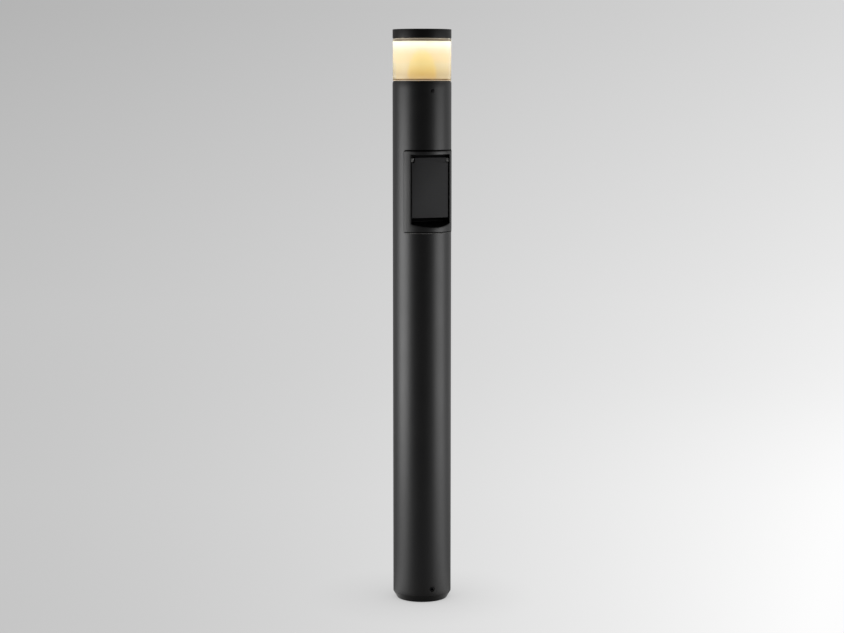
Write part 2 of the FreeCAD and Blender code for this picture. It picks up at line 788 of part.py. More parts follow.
# Driver: a sealed brick with two fixing tabs
def make_led_driver():
    case = block("driver_case", (s.driver_left, driver_right), (s.rail_front - s.driver_depth, s.rail_front),
                 (s.driver_foot, driver_top))
    tabs = block("driver_tabs", (s.driver_left + s.driver_tab_inset, driver_right - s.driver_tab_inset),
                 (s.rail_front - s.driver_tab_thickness, s.rail_front),
                 (s.driver_foot - s.driver_tab, driver_top + s.driver_tab))
    x = s.driver_left + s.driver_width / 2
    heights = (s.driver_foot - s.driver_tab / 2, driver_top + s.driver_tab / 2)
    holes = [
        rod(f"driver_tab_hole_{i}", s.rail_screw_radius + s.hole_clearance / 2,
            (x, s.rail_front - s.driver_tab_thickness - 1, height), BACK, s.driver_tab_thickness + 2)
        for i, height in enumerate(heights)
    ]
    keep(cut("led_driver", fuse("driver_blank", case, tabs), *holes))
    keep(group("driver_screws", [
        screw(f"driver_screw_{i}", (x, s.rail_front - s.driver_tab_thickness, height), BACK,
              s.rail_screw_radius, s.driver_tab_thickness + s.rail_thickness)
        for i, height in enumerate(heights)
    ]))


# Leads: held all the way, from the box to the driver, to the socket and up to the light
def make_leads():
    driver_lead = rod("driver_lead", s.driver_lead_radius, (s.driver_lead_x, 0, box_top - s.lead_tail), UP,
                      s.driver_foot - box_top + s.lead_tail)
    keep(driver_lead)
    rear = terminal_y
    crossing = s.rail_top + s.lead_rise
    keep(lead("socket_lead", s.socket_lead_radius, [
        (s.socket_lead_x, 0, box_top - s.lead_tail), (s.socket_lead_x, 0, crossing),
        (0, rear, crossing + s.lead_crossing), (0, rear, insert_height - s.insert_radius + s.rear_cover_wall),
    ], s.lead_bend))
    tie_foot = collar_floor_foot - s.tie_tail
    keep(lead("led_lead", s.led_lead_radius, [
        (s.led_lead_x, 0, driver_top), (s.led_lead_x, 0, driver_top + s.led_lead_rise),
        (s.led_lead_side, s.led_lead_back, driver_top + s.led_lead_rise + s.led_lead_crossing),
        (s.led_lead_side, s.led_lead_back, window_top + s.led_lead_return),
        (0, 0, tie_foot - 10), (0, 0, board_foot - 5),
    ], s.lead_bend / 2))


# Head collar: a turned plug in the tube's top that the diffuser stands on
def make_head_collar():
    hole = s.tie_radius + s.fit_clearance
    spigot_foot = tube_top - s.collar_spigot_length
    boss_radius = diffuser_bore - s.fit_clearance
    blank = turned("collar_blank", [
        (hole, collar_floor_foot), (collar_bore, collar_floor_foot), (collar_bore, spigot_foot),
        (spigot_radius, spigot_foot), (spigot_radius, tube_top), (collar_flange_radius, tube_top),
        (collar_flange_radius, flange_top), (boss_radius, flange_top), (boss_radius, boss_top),
        (collar_bore, boss_top), (collar_bore, collar_floor_top), (hole, collar_floor_top),
    ])
    holes = []
    for i, angle in enumerate(grub_angles):
        start = shift((0, 0, head_grub_height), outward(angle), collar_bore - 1)
        radius = s.head_grub_radius + s.thread_clearance
        holes.append(rod(f"collar_thread_{i}", radius, start, outward(angle), s.collar_wall + 2))
    for i, angle in enumerate(thirds):
        x, y = around(angle, dome_screw_circle)
        radius = s.dome_screw_radius + s.thread_clearance
        holes.append(rod(f"reflector_thread_{i}", radius, (x, y, boss_top - 10), UP, 11))
    keep(cut("head_collar", blank, *holes))


def make_head_set_screws():
    screws = []
    for i, angle in enumerate(grub_angles):
        inwards = tuple(-u for u in outward(angle))
        outer = shift((0, 0, head_grub_height), outward(angle), s.tube_radius - s.grub_sink)
        screws.append(grub_screw(f"head_grub_{i}", outer, inwards, s.head_grub_radius, s.head_grub_length))
    keep(group("head_set_screws", screws))


def ring(name, inner, outer, low, high):
    return turned(name, [(inner, low), (outer, low), (outer, high), (inner, high)])


def make_diffuser_and_seals():
    keep(ring("lower_seal", diffuser_bore, diffuser_radius - s.seal_thickness, flange_top, diffuser_foot))
    keep(ring("diffuser", diffuser_bore, diffuser_radius, diffuser_foot, diffuser_top))
    keep(ring("cap_seal", diffuser_bore, diffuser_radius - s.seal_thickness, diffuser_top, cap_foot))


def make_top_cap():
    thread = s.tie_radius + s.thread_clearance
    blank = turned("cap_blank", [
        (0, cap_ceiling), (cap_radius - s.cap_rim_wall, cap_ceiling), (cap_radius - s.cap_rim_wall, cap_foot),
        (cap_radius, cap_foot), (cap_radius, cap_top - s.cap_edge), (cap_radius - s.cap_edge, cap_top),
        (0, cap_top),
    ])
    boss = rod("cap_boss", s.cap_boss_radius, (0, 0, cap_ceiling - s.cap_boss_height), UP,
               s.cap_boss_height + 1)
    bosses = []
    holes = [rod("tie_thread_hole", thread, (0, 0, cap_foot), UP, s.cap_height - s.cap_plate + 1)]
    for i, angle in enumerate(thirds):
        x, y = around(angle, s.board_screw_circle)
        bosses.append(rod(f"cap_screw_boss_{i}", s.cap_screw_boss, (x, y, cap_foot), UP,
                          s.cap_height - s.cap_plate + 1))
        radius = s.board_screw_radius + s.thread_clearance
        holes.append(rod(f"cap_screw_thread_{i}", radius, (x, y, cap_foot - 1), UP, 9))
    keep(cut("top_cap", fuse("cap_solid", blank, boss, *bosses), *holes))


# Light: LED board under an aluminium carrier, shining down on the dome reflector
def make_led_carrier():
    blank = ring("carrier_blank", s.tie_radius + s.fit_clearance, carrier_radius,
                 carrier_foot, cap_foot)
    holes = []
    for i, angle in enumerate(thirds):
        x, y = around(angle, s.board_screw_circle)
        radius = s.board_screw_radius + s.hole_clearance / 2
        holes.append(rod(f"carrier_hole_{i}", radius, (x, y, carrier_foot - 1), UP, s.carrier_thickness + 2))
    keep(cut("led_carrier", blank, *holes))


def make_led_board():
    blank = ring("board_blank", s.board_bore, board_radius, board_foot, carrier_foot)
    holes = []
    for i, angle in enumerate(thirds):
        x, y = around(angle, s.board_screw_circle)
        radius = s.board_screw_radius + s.hole_clearance / 2
        holes.append(rod(f"board_hole_{i}", radius, (x, y, board_foot - 1), UP, s.board_thickness + 2))
    keep(cut("led_board", blank, *holes))


def make_led_chips():
    chips = []
    half = s.chip_size / 2
    for i in range(SIZES["chip_count"]):
        x, y = around(15 + 360 / s.chip_count * i, chip_circle)
        chips.append(block("led_chip", (x - half, x + half), (y - half, y + half),
                           (board_foot - s.chip_height, board_foot)))
    keep(group("led_chips", chips))


def make_board_screws():
    screws = []
    for i, angle in enumerate(thirds):
        x, y = around(angle, s.board_screw_circle)
        screws.append(screw(f"board_screw_{i}", (x, y, board_foot), UP, s.board_screw_radius,
                            s.board_screw_length))
    keep(group("board_screws", screws))


def make_led_connector():
    start = s.board_bore + 0.5
    keep(block("led_connector", (start, start + s.connector_length),
               (-s.connector_width / 2, s.connector_width / 2), (board_foot - s.connector_height, board_foot)))


def make_dome_reflector():
    seat = boss_top
    base = boss_top + s.dome_flange
    steps = [math.radians(90 * i / 9) for i in range(1, 9)]
    inner_radius = s.dome_radius - s.dome_shell
    inner_height = s.dome_height - s.dome_shell
    flange_edge = diffuser_bore - s.dome_flange_inset
    outline = [
        (inner_radius, seat), (flange_edge, seat), (flange_edge, base), (s.dome_radius, base),
        *[(s.dome_radius * math.cos(a), base + s.dome_height * math.sin(a)) for a in steps],
        (0, base + s.dome_height), (0, base + inner_height),
        *[(inner_radius * math.cos(a), base + inner_height * math.sin(a)) for a in reversed(steps)],
        (inner_radius, base),
    ]
    blank = turned("reflector_blank", outline)
    holes = [rod("reflector_bore", s.tie_radius + s.fit_clearance, (0, 0, base + s.dome_height / 2), UP,
                 s.dome_height)]
    for i, angle in enumerate(thirds):
        x, y = around(angle, dome_screw_circle)
        holes.append(rod(f"reflector_hole_{i}", s.dome_screw_radius + s.hole_clearance / 2, (x, y, seat - 1),
                         UP, s.dome_flange + 2))
    keep(cut("dome_reflector", blank, *holes))
    screws = []
    for i, angle in enumerate(thirds):
        x, y = around(angle, dome_screw_circle)
        screws.append(screw(f"reflector_screw_{i}", (x, y, base), DOWN, s.dome_screw_radius,
                            s.dome_screw_length))
    keep(group("reflector_screws", screws))


def make_tie_tube():
    foot = collar_floor_foot - s.tie_tail
    blank = ring("tie_blank", s.tie_bore, s.tie_radius, foot, cap_foot + s.tie_thread)
    slot = block("tie_slot", (0, s.tie_radius + 1), (-s.tie_slot_width / 2, s.tie_slot_width / 2),
                 (board_foot - s.tie_slot_height - 2, board_foot - 2))
    keep(cut("tie_tube", blank, slot))
    nut = hexagon("nut_blank", s.tie_nut_flats, (0, 0, collar_floor_foot), DOWN, s.tie_nut_height)
    bore = rod("nut_bore", s.tie_radius + s.thread_clearance, (0, 0, collar_floor_foot + 1), DOWN,
               s.tie_nut_height + 2)
    keep(cut("tie_nut", nut, bore))


# Bezel: fills the window, with a lip over the tube, a sloped drain floor and a ledge behind the lid
def make_socket_bezel():
    round_bar = rod("bezel_bar", lip_radius, (0, 0, plug_foot), UP, plug_top - plug_foot)
    plug_face = panel("bezel_plug_face", plug_half_width, plug_foot, plug_top, ledge_back,
                      lip_radius - ledge_back + 5, s.window_corner - s.fit_clearance)
    plug = common("bezel_plug", round_bar, plug_face)
    lip_foot = window_foot - s.lip_end_overlap
    lip_top = window_top + s.lip_end_overlap
    lip_ring = ring("bezel_lip_ring", s.tube_radius + s.thread_clearance, lip_radius, lip_foot - 5, lip_top + 5)
    lip_face = panel("bezel_lip_face", window_half_width + s.lip_side_overlap, lip_foot, lip_top, 10,
                     lip_radius, s.window_corner)
    lip = common("bezel_lip", lip_ring, lip_face)
    beyond = lip_radius + 5
    opening = profile("bezel_opening", [
        (beyond, sill_at(beyond)), (ledge_depth, sill_at(ledge_depth)),
        (ledge_depth, opening_top), (beyond, opening_top),
    ], opening_half_width)
    front, behind = ledge_depth + 1, ledge_back - 1
    chamber = profile("bezel_chamber", [
        (front, sill_at(front)), (behind, sill_at(behind)), (behind, chamber_top), (front, chamber_top),
    ], chamber_half_width)
    frame = cut("bezel_frame", fuse("bezel_solid", plug, lip), opening, chamber)
    ears = []
    holes = []
    for side in (-1, 1):
        for height in ear_heights:
            inner, outer = ear_x - s.ear_width / 2, chamber_half_width + 0.5
            xs = (inner, outer) if side > 0 else (-outer, -inner)
            ears.append(block("bezel_ear", xs, (-ledge_depth, -ledge_back),
                              (height - s.ear_half_height, height + s.ear_half_height)))
            face = (ear_x * side, -ledge_depth, height)
            wide = s.bezel_screw_radius + s.thread_clearance
            holes.append(cone("ear_sink", wide * 2, wide, face, BACK, wide))
            holes.append(rod("ear_hole", wide, shift(face, FRONT, 1), BACK, s.ledge_thickness + 2))
        x = (bracket_inner + bracket_outer) / 2 * side
        holes.append(rod("peg_hole", s.peg_radius + s.thread_clearance, (x, -ledge_back + 1, hinge_height),
                         FRONT, s.ledge_thickness + 2))
    keep(cut("socket_bezel", fuse("bezel_with_ears", frame, *ears), *holes))


def make_bezel_screws():
    keep(group("bezel_screws", [
        flush_screw("bezel_screw", (ear_x * side, -ledge_depth, height), BACK, s.bezel_screw_radius,
                    s.bezel_screw_length)
        for side in (-1, 1) for height in ear_heights
    ]))


def boss_blocks(name, front, back):
    """The four screw bosses at the chamber's sides, between two depths."""
    blocks = []
    for side in (-1, 1):
        for height in ear_heights:
            inner, outer = ear_x - s.ear_width / 2, tub_half_width - s.tub_wall / 2
            xs = (inner, outer) if side > 0 else (-outer, -inner)
            blocks.append(block(name, xs, (-front, -back),
                                (height - s.ear_half_height, height + s.ear_half_height)))
    return blocks


def boss_holes(name, radius, front, length):
    return [
        rod(name, radius, (ear_x * side, -front, height), BACK, length)
        for side in (-1, 1) for height in ear_heights
    ]


def make_bezel_gasket():
    outer = panel("gasket_outside", tub_half_width, sill_at(tub_front) - s.tub_wall, chamber_top + s.tub_wall,
                  tub_front, s.gasket_thickness)
    inner = panel("gasket_inside", chamber_half_width, sill_at(tub_front), chamber_top,
                  tub_front - 1, s.gasket_thickness + 2)
    frame = cut("gasket_frame", outer, inner)
    pads = boss_blocks("gasket_pad", ledge_back, tub_front)
    holes = boss_holes("gasket_hole", s.bezel_screw_radius + s.hole_clearance / 2, ledge_back + 1,
                       s.gasket_thickness + 2)
    keep(cut("bezel_gasket", fuse("gasket_blank", frame, *pads), *holes))


# Socket box: a tub behind the bezel, hung from a curved flange that bears on the tube's inside
def make_socket_box():
    rear = -s.tub_back
    tub = profile("tub_outside", [
        (tub_front, sill_at(tub_front) - s.tub_wall), (rear, sill_at(rear) - s.tub_wall),
        (rear, chamber_top + s.tub_wall), (tub_front, chamber_top + s.tub_wall),
    ], tub_half_width)
    front = lip_radius
    hollow = profile("tub_inside", [
        (front, sill_at(front)), (0, sill_at(size(0))), (0, chamber_top), (front, chamber_top),
    ], chamber_half_width)
    flange_foot = window_foot - s.flange_end_overlap
    flange_top_edge = window_top + s.flange_end_overlap
    web_sheet = panel("web_sheet", flange_radius, flange_foot, flange_top_edge,
                      web_depth - s.web_thickness, s.web_thickness)
    web_bar = rod("web_bar", flange_radius, (0, 0, flange_foot), UP, flange_top_edge - flange_foot)
    web = common("box_web", web_sheet, web_bar)
    flange_ring = ring("flange_ring", flange_radius - s.flange_wall, flange_radius,
                       flange_foot, flange_top_edge)
    flange_face = panel("flange_face", flange_radius + 1, flange_foot - 1, flange_top_edge + 1,
                        flange_reach, flange_radius)
    gap = s.fit_clearance * 2
    pass_hole = panel("flange_hole", plug_half_width + gap, plug_foot - gap, plug_top + gap,
                      web_depth, flange_radius)
    flange = cut("box_flange", common("flange_arc", flange_ring, flange_face), pass_hole)
    bosses = boss_blocks("box_screw_boss", tub_front, tub_front - s.boss_depth)
    blank = cut("box_blank", fuse("box_solid", tub, web, flange), hollow)
    holes = boss_holes("boss_thread", s.bezel_screw_radius + s.thread_clearance, tub_front + 1,
                       s.boss_depth)
    holes.append(rod("insert_hole", s.insert_radius + s.fit_clearance, (0, -1, insert_height), BACK,
                     s.tub_back + 2))
    for x, height in insert_corners():
        holes.append(rod("insert_thread", s.insert_screw_radius + s.thread_clearance, (x, -1, height), BACK,
                         s.tub_back + 2))
    keep(cut("socket_box", fuse("box_with_bosses", blank, *bosses), *holes))


def make_window_gasket():
    foot = window_foot - s.flange_end_overlap
    top = window_top + s.flange_end_overlap
    gap = s.fit_clearance * 2
    band = ring("gasket_band", flange_radius + s.thread_clearance * 2, tube_bore - s.thread_clearance * 2,
                foot, top)
    face = panel("gasket_face", tube_bore + 1, foot - 1, top + 1, flange_reach, tube_bore)
    hole = panel("gasket_window", plug_half_width + gap, plug_foot - gap, plug_top + gap, 0, tube_bore + 5)
    keep(cut("window_gasket", common("gasket_arc", band, face), hole))


# Lid: a flat door hung from a barrel along its top edge, notched at the corners for the brackets
def make_lid():
    plate = panel("lid_plate", lid_half_width, lid_foot, lid_top, lid_back, s.lid_thickness, 0.6)
    barrel = rod("lid_barrel", s.barrel_radius, (-notch_x, -hinge_depth, hinge_height), (1, 0, 0),
                 notch_x * 2)
    lip_foot = lid_foot + s.finger_lip_rise
    finger_lip = block("lid_finger_lip", (-s.finger_lip_half_width, s.finger_lip_half_width),
                       (-lid_back, -lid_back + s.finger_lip_depth), (lip_foot, lip_foot + s.finger_lip_height))
    notches = []
    for side in (-1, 1):
        xs = (notch_x, lid_half_width + 1) if side > 0 else (-lid_half_width - 1, -notch_x)
        notches.append(block("lid_notch", xs, (-lid_front - 1, -lid_back + 5), (notch_foot, lid_top + 1)))
    bore = rod("lid_bore", s.pin_radius + s.running_clearance,
               (-notch_x - 1, -hinge_depth, hinge_height), (1, 0, 0), notch_x * 2 + 2)
    reach = s.spring_half_length + 1
    nest = rod("spring_nest", s.spring_radius + s.spring_clearance, (-reach, -hinge_depth, hinge_height),
               (1, 0, 0), reach * 2)
    relief = block("spring_relief", (-reach, reach), (-lid_back, -hinge_depth + s.barrel_radius + 1),
                   (hinge_height - s.barrel_radius - 1, hinge_height + s.barrel_radius + 1))
    blank = fuse("lid_blank", plate, barrel, finger_lip)
    keep(cut("lid", blank, *notches, bore, nest, relief))


def make_lid_seal():
    gap = s.fit_clearance
    depth = lid_back - ledge_depth - gap
    outer = panel("seal_outside", lid_half_width - 0.1, lid_foot + 4, notch_foot, ledge_depth + gap, depth)
    width = s.lid_seal_width
    inner = panel("seal_inside", lid_half_width - 0.1 - width, lid_foot, notch_foot - width,
                  ledge_depth, depth + 2)
    keep(cut("lid_seal", outer, inner))


def make_hinge():
    axis = (-hinge_depth, hinge_height)
    keep(rod("hinge_pin", s.pin_radius, (-bracket_outer, *axis), (1, 0, 0), bracket_outer * 2))
    brackets = []
    for side in (-1, 1):
        xs = (bracket_inner, bracket_outer) if side > 0 else (-bracket_outer, -bracket_inner)
        cheek = block("bracket_cheek", xs, (-lid_front, -ledge_depth), (bracket_foot, bracket_top))
        x = (bracket_inner + bracket_outer) / 2 * side
        peg = rod("bracket_peg", s.peg_radius, (x, -ledge_depth - 0.5, hinge_height), BACK,
                  s.ledge_thickness + 0.5)
        bore = rod("bracket_bore", s.pin_radius + 0.02, (-bracket_outer - 1, *axis), (1, 0, 0),
                   bracket_outer * 2 + 2)
        brackets.append(cut("hinge_bracket", fuse("bracket_blank", cheek, peg), bore))
    keep(group("hinge_brackets", brackets))
    length = s.spring_half_length * 2
    coil = rod("spring_outside", s.spring_radius, (-s.spring_half_length, *axis), (1, 0, 0), length)
    core = rod("spring_inside", s.pin_radius + s.spring_clearance, (-s.spring_half_length - 1, *axis),
               (1, 0, 0), length + 2)
    keep(cut("lid_spring", coil, core))


# Socket insert: square plate with a round recess for an earthed two-pin plug
def insert_corners():
    offset = s.insert_screw_offset
    return [(x, insert_height + z) for x in (-offset, offset) for z in (-offset, offset)]


def contact_points(y):
    return [(s.contact_offset * side, y, insert_height) for side in (-1, 1)]


def earth_slots(name, front, back):
    """Two slots for the earth bow's arms, above and below the recess's centre."""
    gap = s.fit_clearance
    reach = s.earth_thickness / 2 + gap
    half = s.earth_half_width + gap
    return [
        block(name, (-half, half), (front, back),
              (insert_height + s.earth_offset * side - reach, insert_height + s.earth_offset * side + reach))
        for side in (-1, 1)
    ]


def make_insert_housing():
    plate = block("insert_plate_blank", (-s.insert_half_width, s.insert_half_width), (plate_front, plate_back),
                  (insert_height - s.insert_half_width, insert_height + s.insert_half_width))
    barrel = rod("insert_barrel", s.insert_radius, (0, plate_front + 1, insert_height), BACK,
                 insert_back - plate_front - 1)
    recess = rod("insert_recess", s.recess_radius, (0, plate_front - 1, insert_height), BACK,
                 s.recess_depth + 1)
    rear = rod("insert_rear_bore", s.rear_bore, (0, floor_back, insert_height), BACK,
               insert_back - floor_back + 1)
    shell = cut("insert_shell", fuse("insert_blank", plate, barrel), recess, rear)
    guides = [
        block("insert_guide",
              (s.recess_radius - s.guide_reach, s.recess_radius + 0.5) if side > 0
              else (-s.recess_radius - 0.5, -s.recess_radius + s.guide_reach),
              (plate_front + 3, recess_end + 0.5),
              (insert_height - s.guide_half_height, insert_height + s.guide_half_height))
        for side in (-1, 1)
    ]
    pivot = rod("insert_pivot", s.pivot_radius, (0, floor_back - 0.5, insert_height), BACK,
                carrier_front - floor_back + 0.5)
    holes = [rod("pin_hole", s.contact_hole, point, BACK, s.recess_floor + 2)
             for point in contact_points(recess_end - 1)]
    holes += [rod("insert_screw_hole", s.insert_screw_radius + s.hole_clearance / 2,
                  (x, plate_front - 1, height), BACK, s.insert_plate + 2) for x, height in insert_corners()]
    holes += earth_slots("housing_slot", recess_end - 1, floor_back + 1)
    keep(cut("insert_housing", fuse("insert_with_guides", shell, pivot, *guides), *holes))


def make_insert_gasket():
    plate = block("insert_gasket_blank", (-s.insert_half_width, s.insert_half_width), (plate_back, 0),
                  (insert_height - s.insert_half_width, insert_height + s.insert_half_width))
    holes = [rod("insert_gasket_bore", s.insert_radius + s.fit_clearance, (0, plate_back - 1, insert_height),
                 BACK, s.gasket_thickness + 2)]
    holes += [rod("insert_gasket_hole", s.insert_screw_radius + s.hole_clearance / 2,
                  (x, plate_back - 1, height), BACK, s.gasket_thickness + 2) for x, height in insert_corners()]
    keep(cut("insert_gasket", plate, *holes))
    keep(group("insert_screws", [
        screw("insert_screw", (x, plate_front, height), BACK, s.insert_screw_radius, s.insert_screw_length)
        for x, height in insert_corners()
    ]))


# Shutter: a two-winged bar that covers both pin holes and turns aside on its pivot
def make_shutter():
    disc = rod("shutter_disc", s.shutter_radius, (0, shutter_front, insert_height), BACK, s.shutter_thickness)
    bar = block("shutter_bar", (-s.shutter_radius - 1, s.shutter_radius + 1), (shutter_front, shutter_back),
                (insert_height - s.shutter_half_width, insert_height + s.shutter_half_width))
    hub = rod("shutter_hub", s.shutter_hub, (0, shutter_front, insert_height), BACK, s.shutter_thickness)
    bore = rod("shutter_bore", s.pivot_radius + s.running_clearance, (0, shutter_front - 1, insert_height),
               BACK, s.shutter_thickness + 2)
    keep(cut("shutter", fuse("shutter_blank", common("shutter_wings", disc, bar), hub), bore))


def make_contacts():
    block_disc = rod("carrier_disc", s.rear_bore - s.fit_clearance, (0, carrier_front, insert_height), BACK,
                     insert_back - carrier_front)
    holes = [rod("carrier_bore", s.contact_radius + s.thread_clearance, point, BACK,
                 insert_back - carrier_front + 2) for point in contact_points(carrier_front - 1)]
    holes += earth_slots("carrier_slot", carrier_front - 1, insert_back + 1)
    holes.append(rod("carrier_thread", s.terminal_screw_radius + s.thread_clearance,
                     (0, insert_back - 8, insert_height), BACK, 9))
    keep(cut("contact_carrier", block_disc, *holes))
    start = carrier_front + 0.5
    sleeve_length = insert_back - start + s.contact_tail
    sleeves = []
    screws = []
    for point, wall_point in zip(contact_points(start), contact_points(start - 1)):
        blank = rod("sleeve_blank", s.contact_radius, point, BACK, sleeve_length)
        bore = rod("sleeve_bore", s.contact_bore, wall_point, BACK, sleeve_length + 2)
        tap_height = insert_height + s.contact_bore + 0.3
        tap = rod("sleeve_tap", s.terminal_screw_radius + s.thread_clearance,
                  (point[0], insert_back + s.terminal_tap_setback, tap_height), UP, 3)
        sleeves.append(cut("contact_sleeve", blank, bore, tap))
        screws.append(rod("terminal_screw", s.terminal_screw_radius,
                          (point[0], insert_back + s.terminal_tap_setback, tap_height), UP,
                          s.terminal_screw_length))
    keep(group("contact_sleeves", sleeves))
    keep(group("terminal_screws", screws))


def make_earth_bow():
    half = s.earth_half_width
    front, bow_front = plate_front + s.earth_front_gap, insert_back + 0.3
    arms = [
        block("earth_arm", (-half, half), (front, bow_front + s.earth_thickness),
              (insert_height + s.earth_offset * side - s.earth_thickness / 2,
               insert_height + s.earth_offset * side + s.earth_thickness / 2))
        for side in (-1, 1)
    ]
    bridge = block("earth_bridge", (-half, half), (bow_front, bow_front + s.earth_thickness),
                   (insert_height - s.earth_offset, insert_height + s.earth_offset))
    hole = rod("earth_hole", s.terminal_screw_radius + 0.2, (0, bow_front - 1, insert_height), BACK, 4)
    keep(cut("earth_bow", fuse("earth_blank", bridge, *arms), hole))


def make_insert_rear_cover():
    cup = rod("rear_cup", s.insert_radius, (0, insert_back, insert_height), BACK, s.rear_cover_depth)
    hollow = rod("rear_hollow", s.insert_radius - s.rear_cover_wall, (0, insert_back - 1, insert_height), BACK,
                 s.rear_cover_depth - s.rear_cover_wall + 1)
    entry = rod("rear_entry", s.socket_lead_radius + s.lead_grip,
                (0, terminal_y, insert_height - s.insert_radius - 2), UP, 8)
    hole = rod("rear_hole", s.terminal_screw_radius + 0.2, (0, cover_back - 5, insert_height), BACK, 6)
    keep(cut("insert_rear_cover", cup, hollow, entry, hole))
    keep(screw("rear_cover_screw", (0, cover_back, insert_height), FRONT, s.terminal_screw_radius,
               s.rear_cover_depth + 6))


make_foot_casting()
make_foot_set_screws()
make_pole_tube()
make_gear_rail()
make_rail_screws()
make_junction_box()
make_junction_cover()
make_box_fixing_screws()
make_terminal_strip()
make_inlet_gland()
make_led_driver()
make_leads()
make_head_collar()
make_head_set_screws()
make_diffuser_and_seals()
make_top_cap()
make_led_carrier()
make_led_board()
make_led_chips()
make_board_screws()
make_led_connector()
make_dome_reflector()
make_tie_tube()
make_socket_bezel()
make_bezel_screws()
make_bezel_gasket()
make_socket_box()
make_window_gasket()
make_lid()
make_lid_seal()
make_hinge()
make_insert_housing()
make_insert_gasket()
make_shutter()
make_contacts()
make_earth_bow()
make_insert_rear_cover()
doc.recompute()

# Nothing is written unless every object and every sub-part is sound
for obj in doc.Objects:
    if "Invalid" in obj.State or "Error" in obj.State:
        raise RuntimeError(f"{obj.Label} did not build: {obj.State}")
for label, obj in nodes.items():
    if obj.Shape.isNull() or not obj.Shape.isValid() or not obj.Shape.Solids:
        raise RuntimeError(f"{label} has no valid solid")

os.makedirs("parts", exist_ok=True)
for label, obj in nodes.items():
    obj.Shape.exportStep(f"parts/{label}.step")
print(f"{len(nodes)} sub-parts written, height {cap_top.value:.1f}")
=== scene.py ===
import json
import logging
import math
from collections.abc import Callable
from dataclasses import dataclass, field
from enum import Enum
from functools import reduce
from typing import Any

import bmesh
import bpy
import numpy as np
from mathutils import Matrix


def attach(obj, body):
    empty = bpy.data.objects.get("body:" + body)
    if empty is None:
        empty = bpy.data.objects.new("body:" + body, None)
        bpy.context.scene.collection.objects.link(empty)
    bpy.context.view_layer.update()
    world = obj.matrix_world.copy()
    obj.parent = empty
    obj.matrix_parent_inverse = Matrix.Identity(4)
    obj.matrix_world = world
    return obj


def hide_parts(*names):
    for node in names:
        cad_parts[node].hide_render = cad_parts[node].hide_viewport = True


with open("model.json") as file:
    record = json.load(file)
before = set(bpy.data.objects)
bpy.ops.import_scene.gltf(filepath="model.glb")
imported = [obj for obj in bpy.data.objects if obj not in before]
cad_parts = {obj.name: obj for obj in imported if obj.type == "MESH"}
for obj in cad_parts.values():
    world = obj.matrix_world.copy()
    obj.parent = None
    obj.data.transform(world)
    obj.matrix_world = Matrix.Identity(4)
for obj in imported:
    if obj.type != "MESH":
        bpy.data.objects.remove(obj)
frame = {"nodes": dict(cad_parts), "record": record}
log = logging.getLogger("bollard")

# Lengths of the part are millimetres; METRE turns them into the frame's metres.
METRE = 0.001
# Steps around a turned piece, and the degrees between them.
COLUMNS = 240
STEP = 360 / COLUMNS
# Metres within which two points of a piece become one, and degrees within which a copy's faces do.
MERGE = 2e-6
FLAT = 0.5
UP = np.array([0.0, 0.0, 1.0])

Points = np.ndarray
Profile = np.ndarray
# (place or height, sRGB hex), in order.
Stops = tuple[tuple[float, str], ...]
# From low, from high, to start, to end.
Range = tuple[float, float, float, float]
# A loop's depth by x, and the height of its lower edge by x and depth.
Depth = Callable[[np.ndarray], np.ndarray]
Edge = Callable[[np.ndarray, np.ndarray], np.ndarray]


class Axis(Enum):
    """The axis that a turned piece turns about."""

    Z = 0
    X = 1
    Y = 2


class Body(Enum):
    """The three bodies of the frame."""

    POST = "bollard"
    LID = "lid"
    SHUTTER = "shutter"


# ---------------------------------------------------------------- mesh tools
@dataclass
class Skin:
    """A mesh in the making.

    Args:
        points: one row of x, y, z in millimetres for each corner.
        faces: lists of row numbers.
    """

    points: Points
    faces: list[list[int]]

    def __add__(self, other: "Skin") -> "Skin":
        """Both skins in one.

        Args:
            other: the skin that comes after this one.

        Returns:
            A skin in which the other's faces count their points on from this one's.
        """
        shift = len(self.points)
        moved = [[i + shift for i in face] for face in other.faces]
        return Skin(np.vstack([self.points, other.points]), self.faces + moved)


def linear(code: str) -> tuple[float, float, float, float]:
    """An sRGB hex colour as linear RGBA.

    Args:
        code: six hex digits.

    Returns:
        Red, green, blue and an alpha of 1. Each channel c becomes c / 12.92 up to 0.04045, and
        ((c + 0.055) / 1.055) to the power 2.4 above it.
    """
    srgb = np.array([int(code[i:i + 2], 16) for i in (0, 2, 4)]) / 255
    value = np.where(srgb <= 0.04045, srgb / 12.92, ((srgb + 0.055) / 1.055) ** 2.4)
    return (float(value[0]), float(value[1]), float(value[2]), 1.0)


def heading(angle: float) -> np.ndarray:
    """A level unit vector at some degrees from the socket's side, in the pole's terms."""
    turn = math.radians(angle)
    return np.array([math.sin(turn), -math.cos(turn), 0.0])


def sheet(points: Points, mask: np.ndarray | None = None) -> Skin:
    """Quads between the rows and columns of a grid.

    Args:
        points: rows by columns by 3.
        mask: one truth value for each quad; a false one leaves a hole.

    Returns:
        The skin. Quad (i, j) joins the four neighbours (i, j), (i, j+1), (i+1, j+1), (i+1, j).
    """
    rows, columns = points.shape[:2]
    index = np.arange(rows * columns).reshape(rows, columns)
    quads = np.stack([index[:-1, :-1], index[:-1, 1:], index[1:, 1:], index[1:, :-1]], axis=-1)
    quads = quads[mask] if mask is not None else quads.reshape(-1, 4)
    return Skin(points.reshape(-1, 3), quads.tolist())


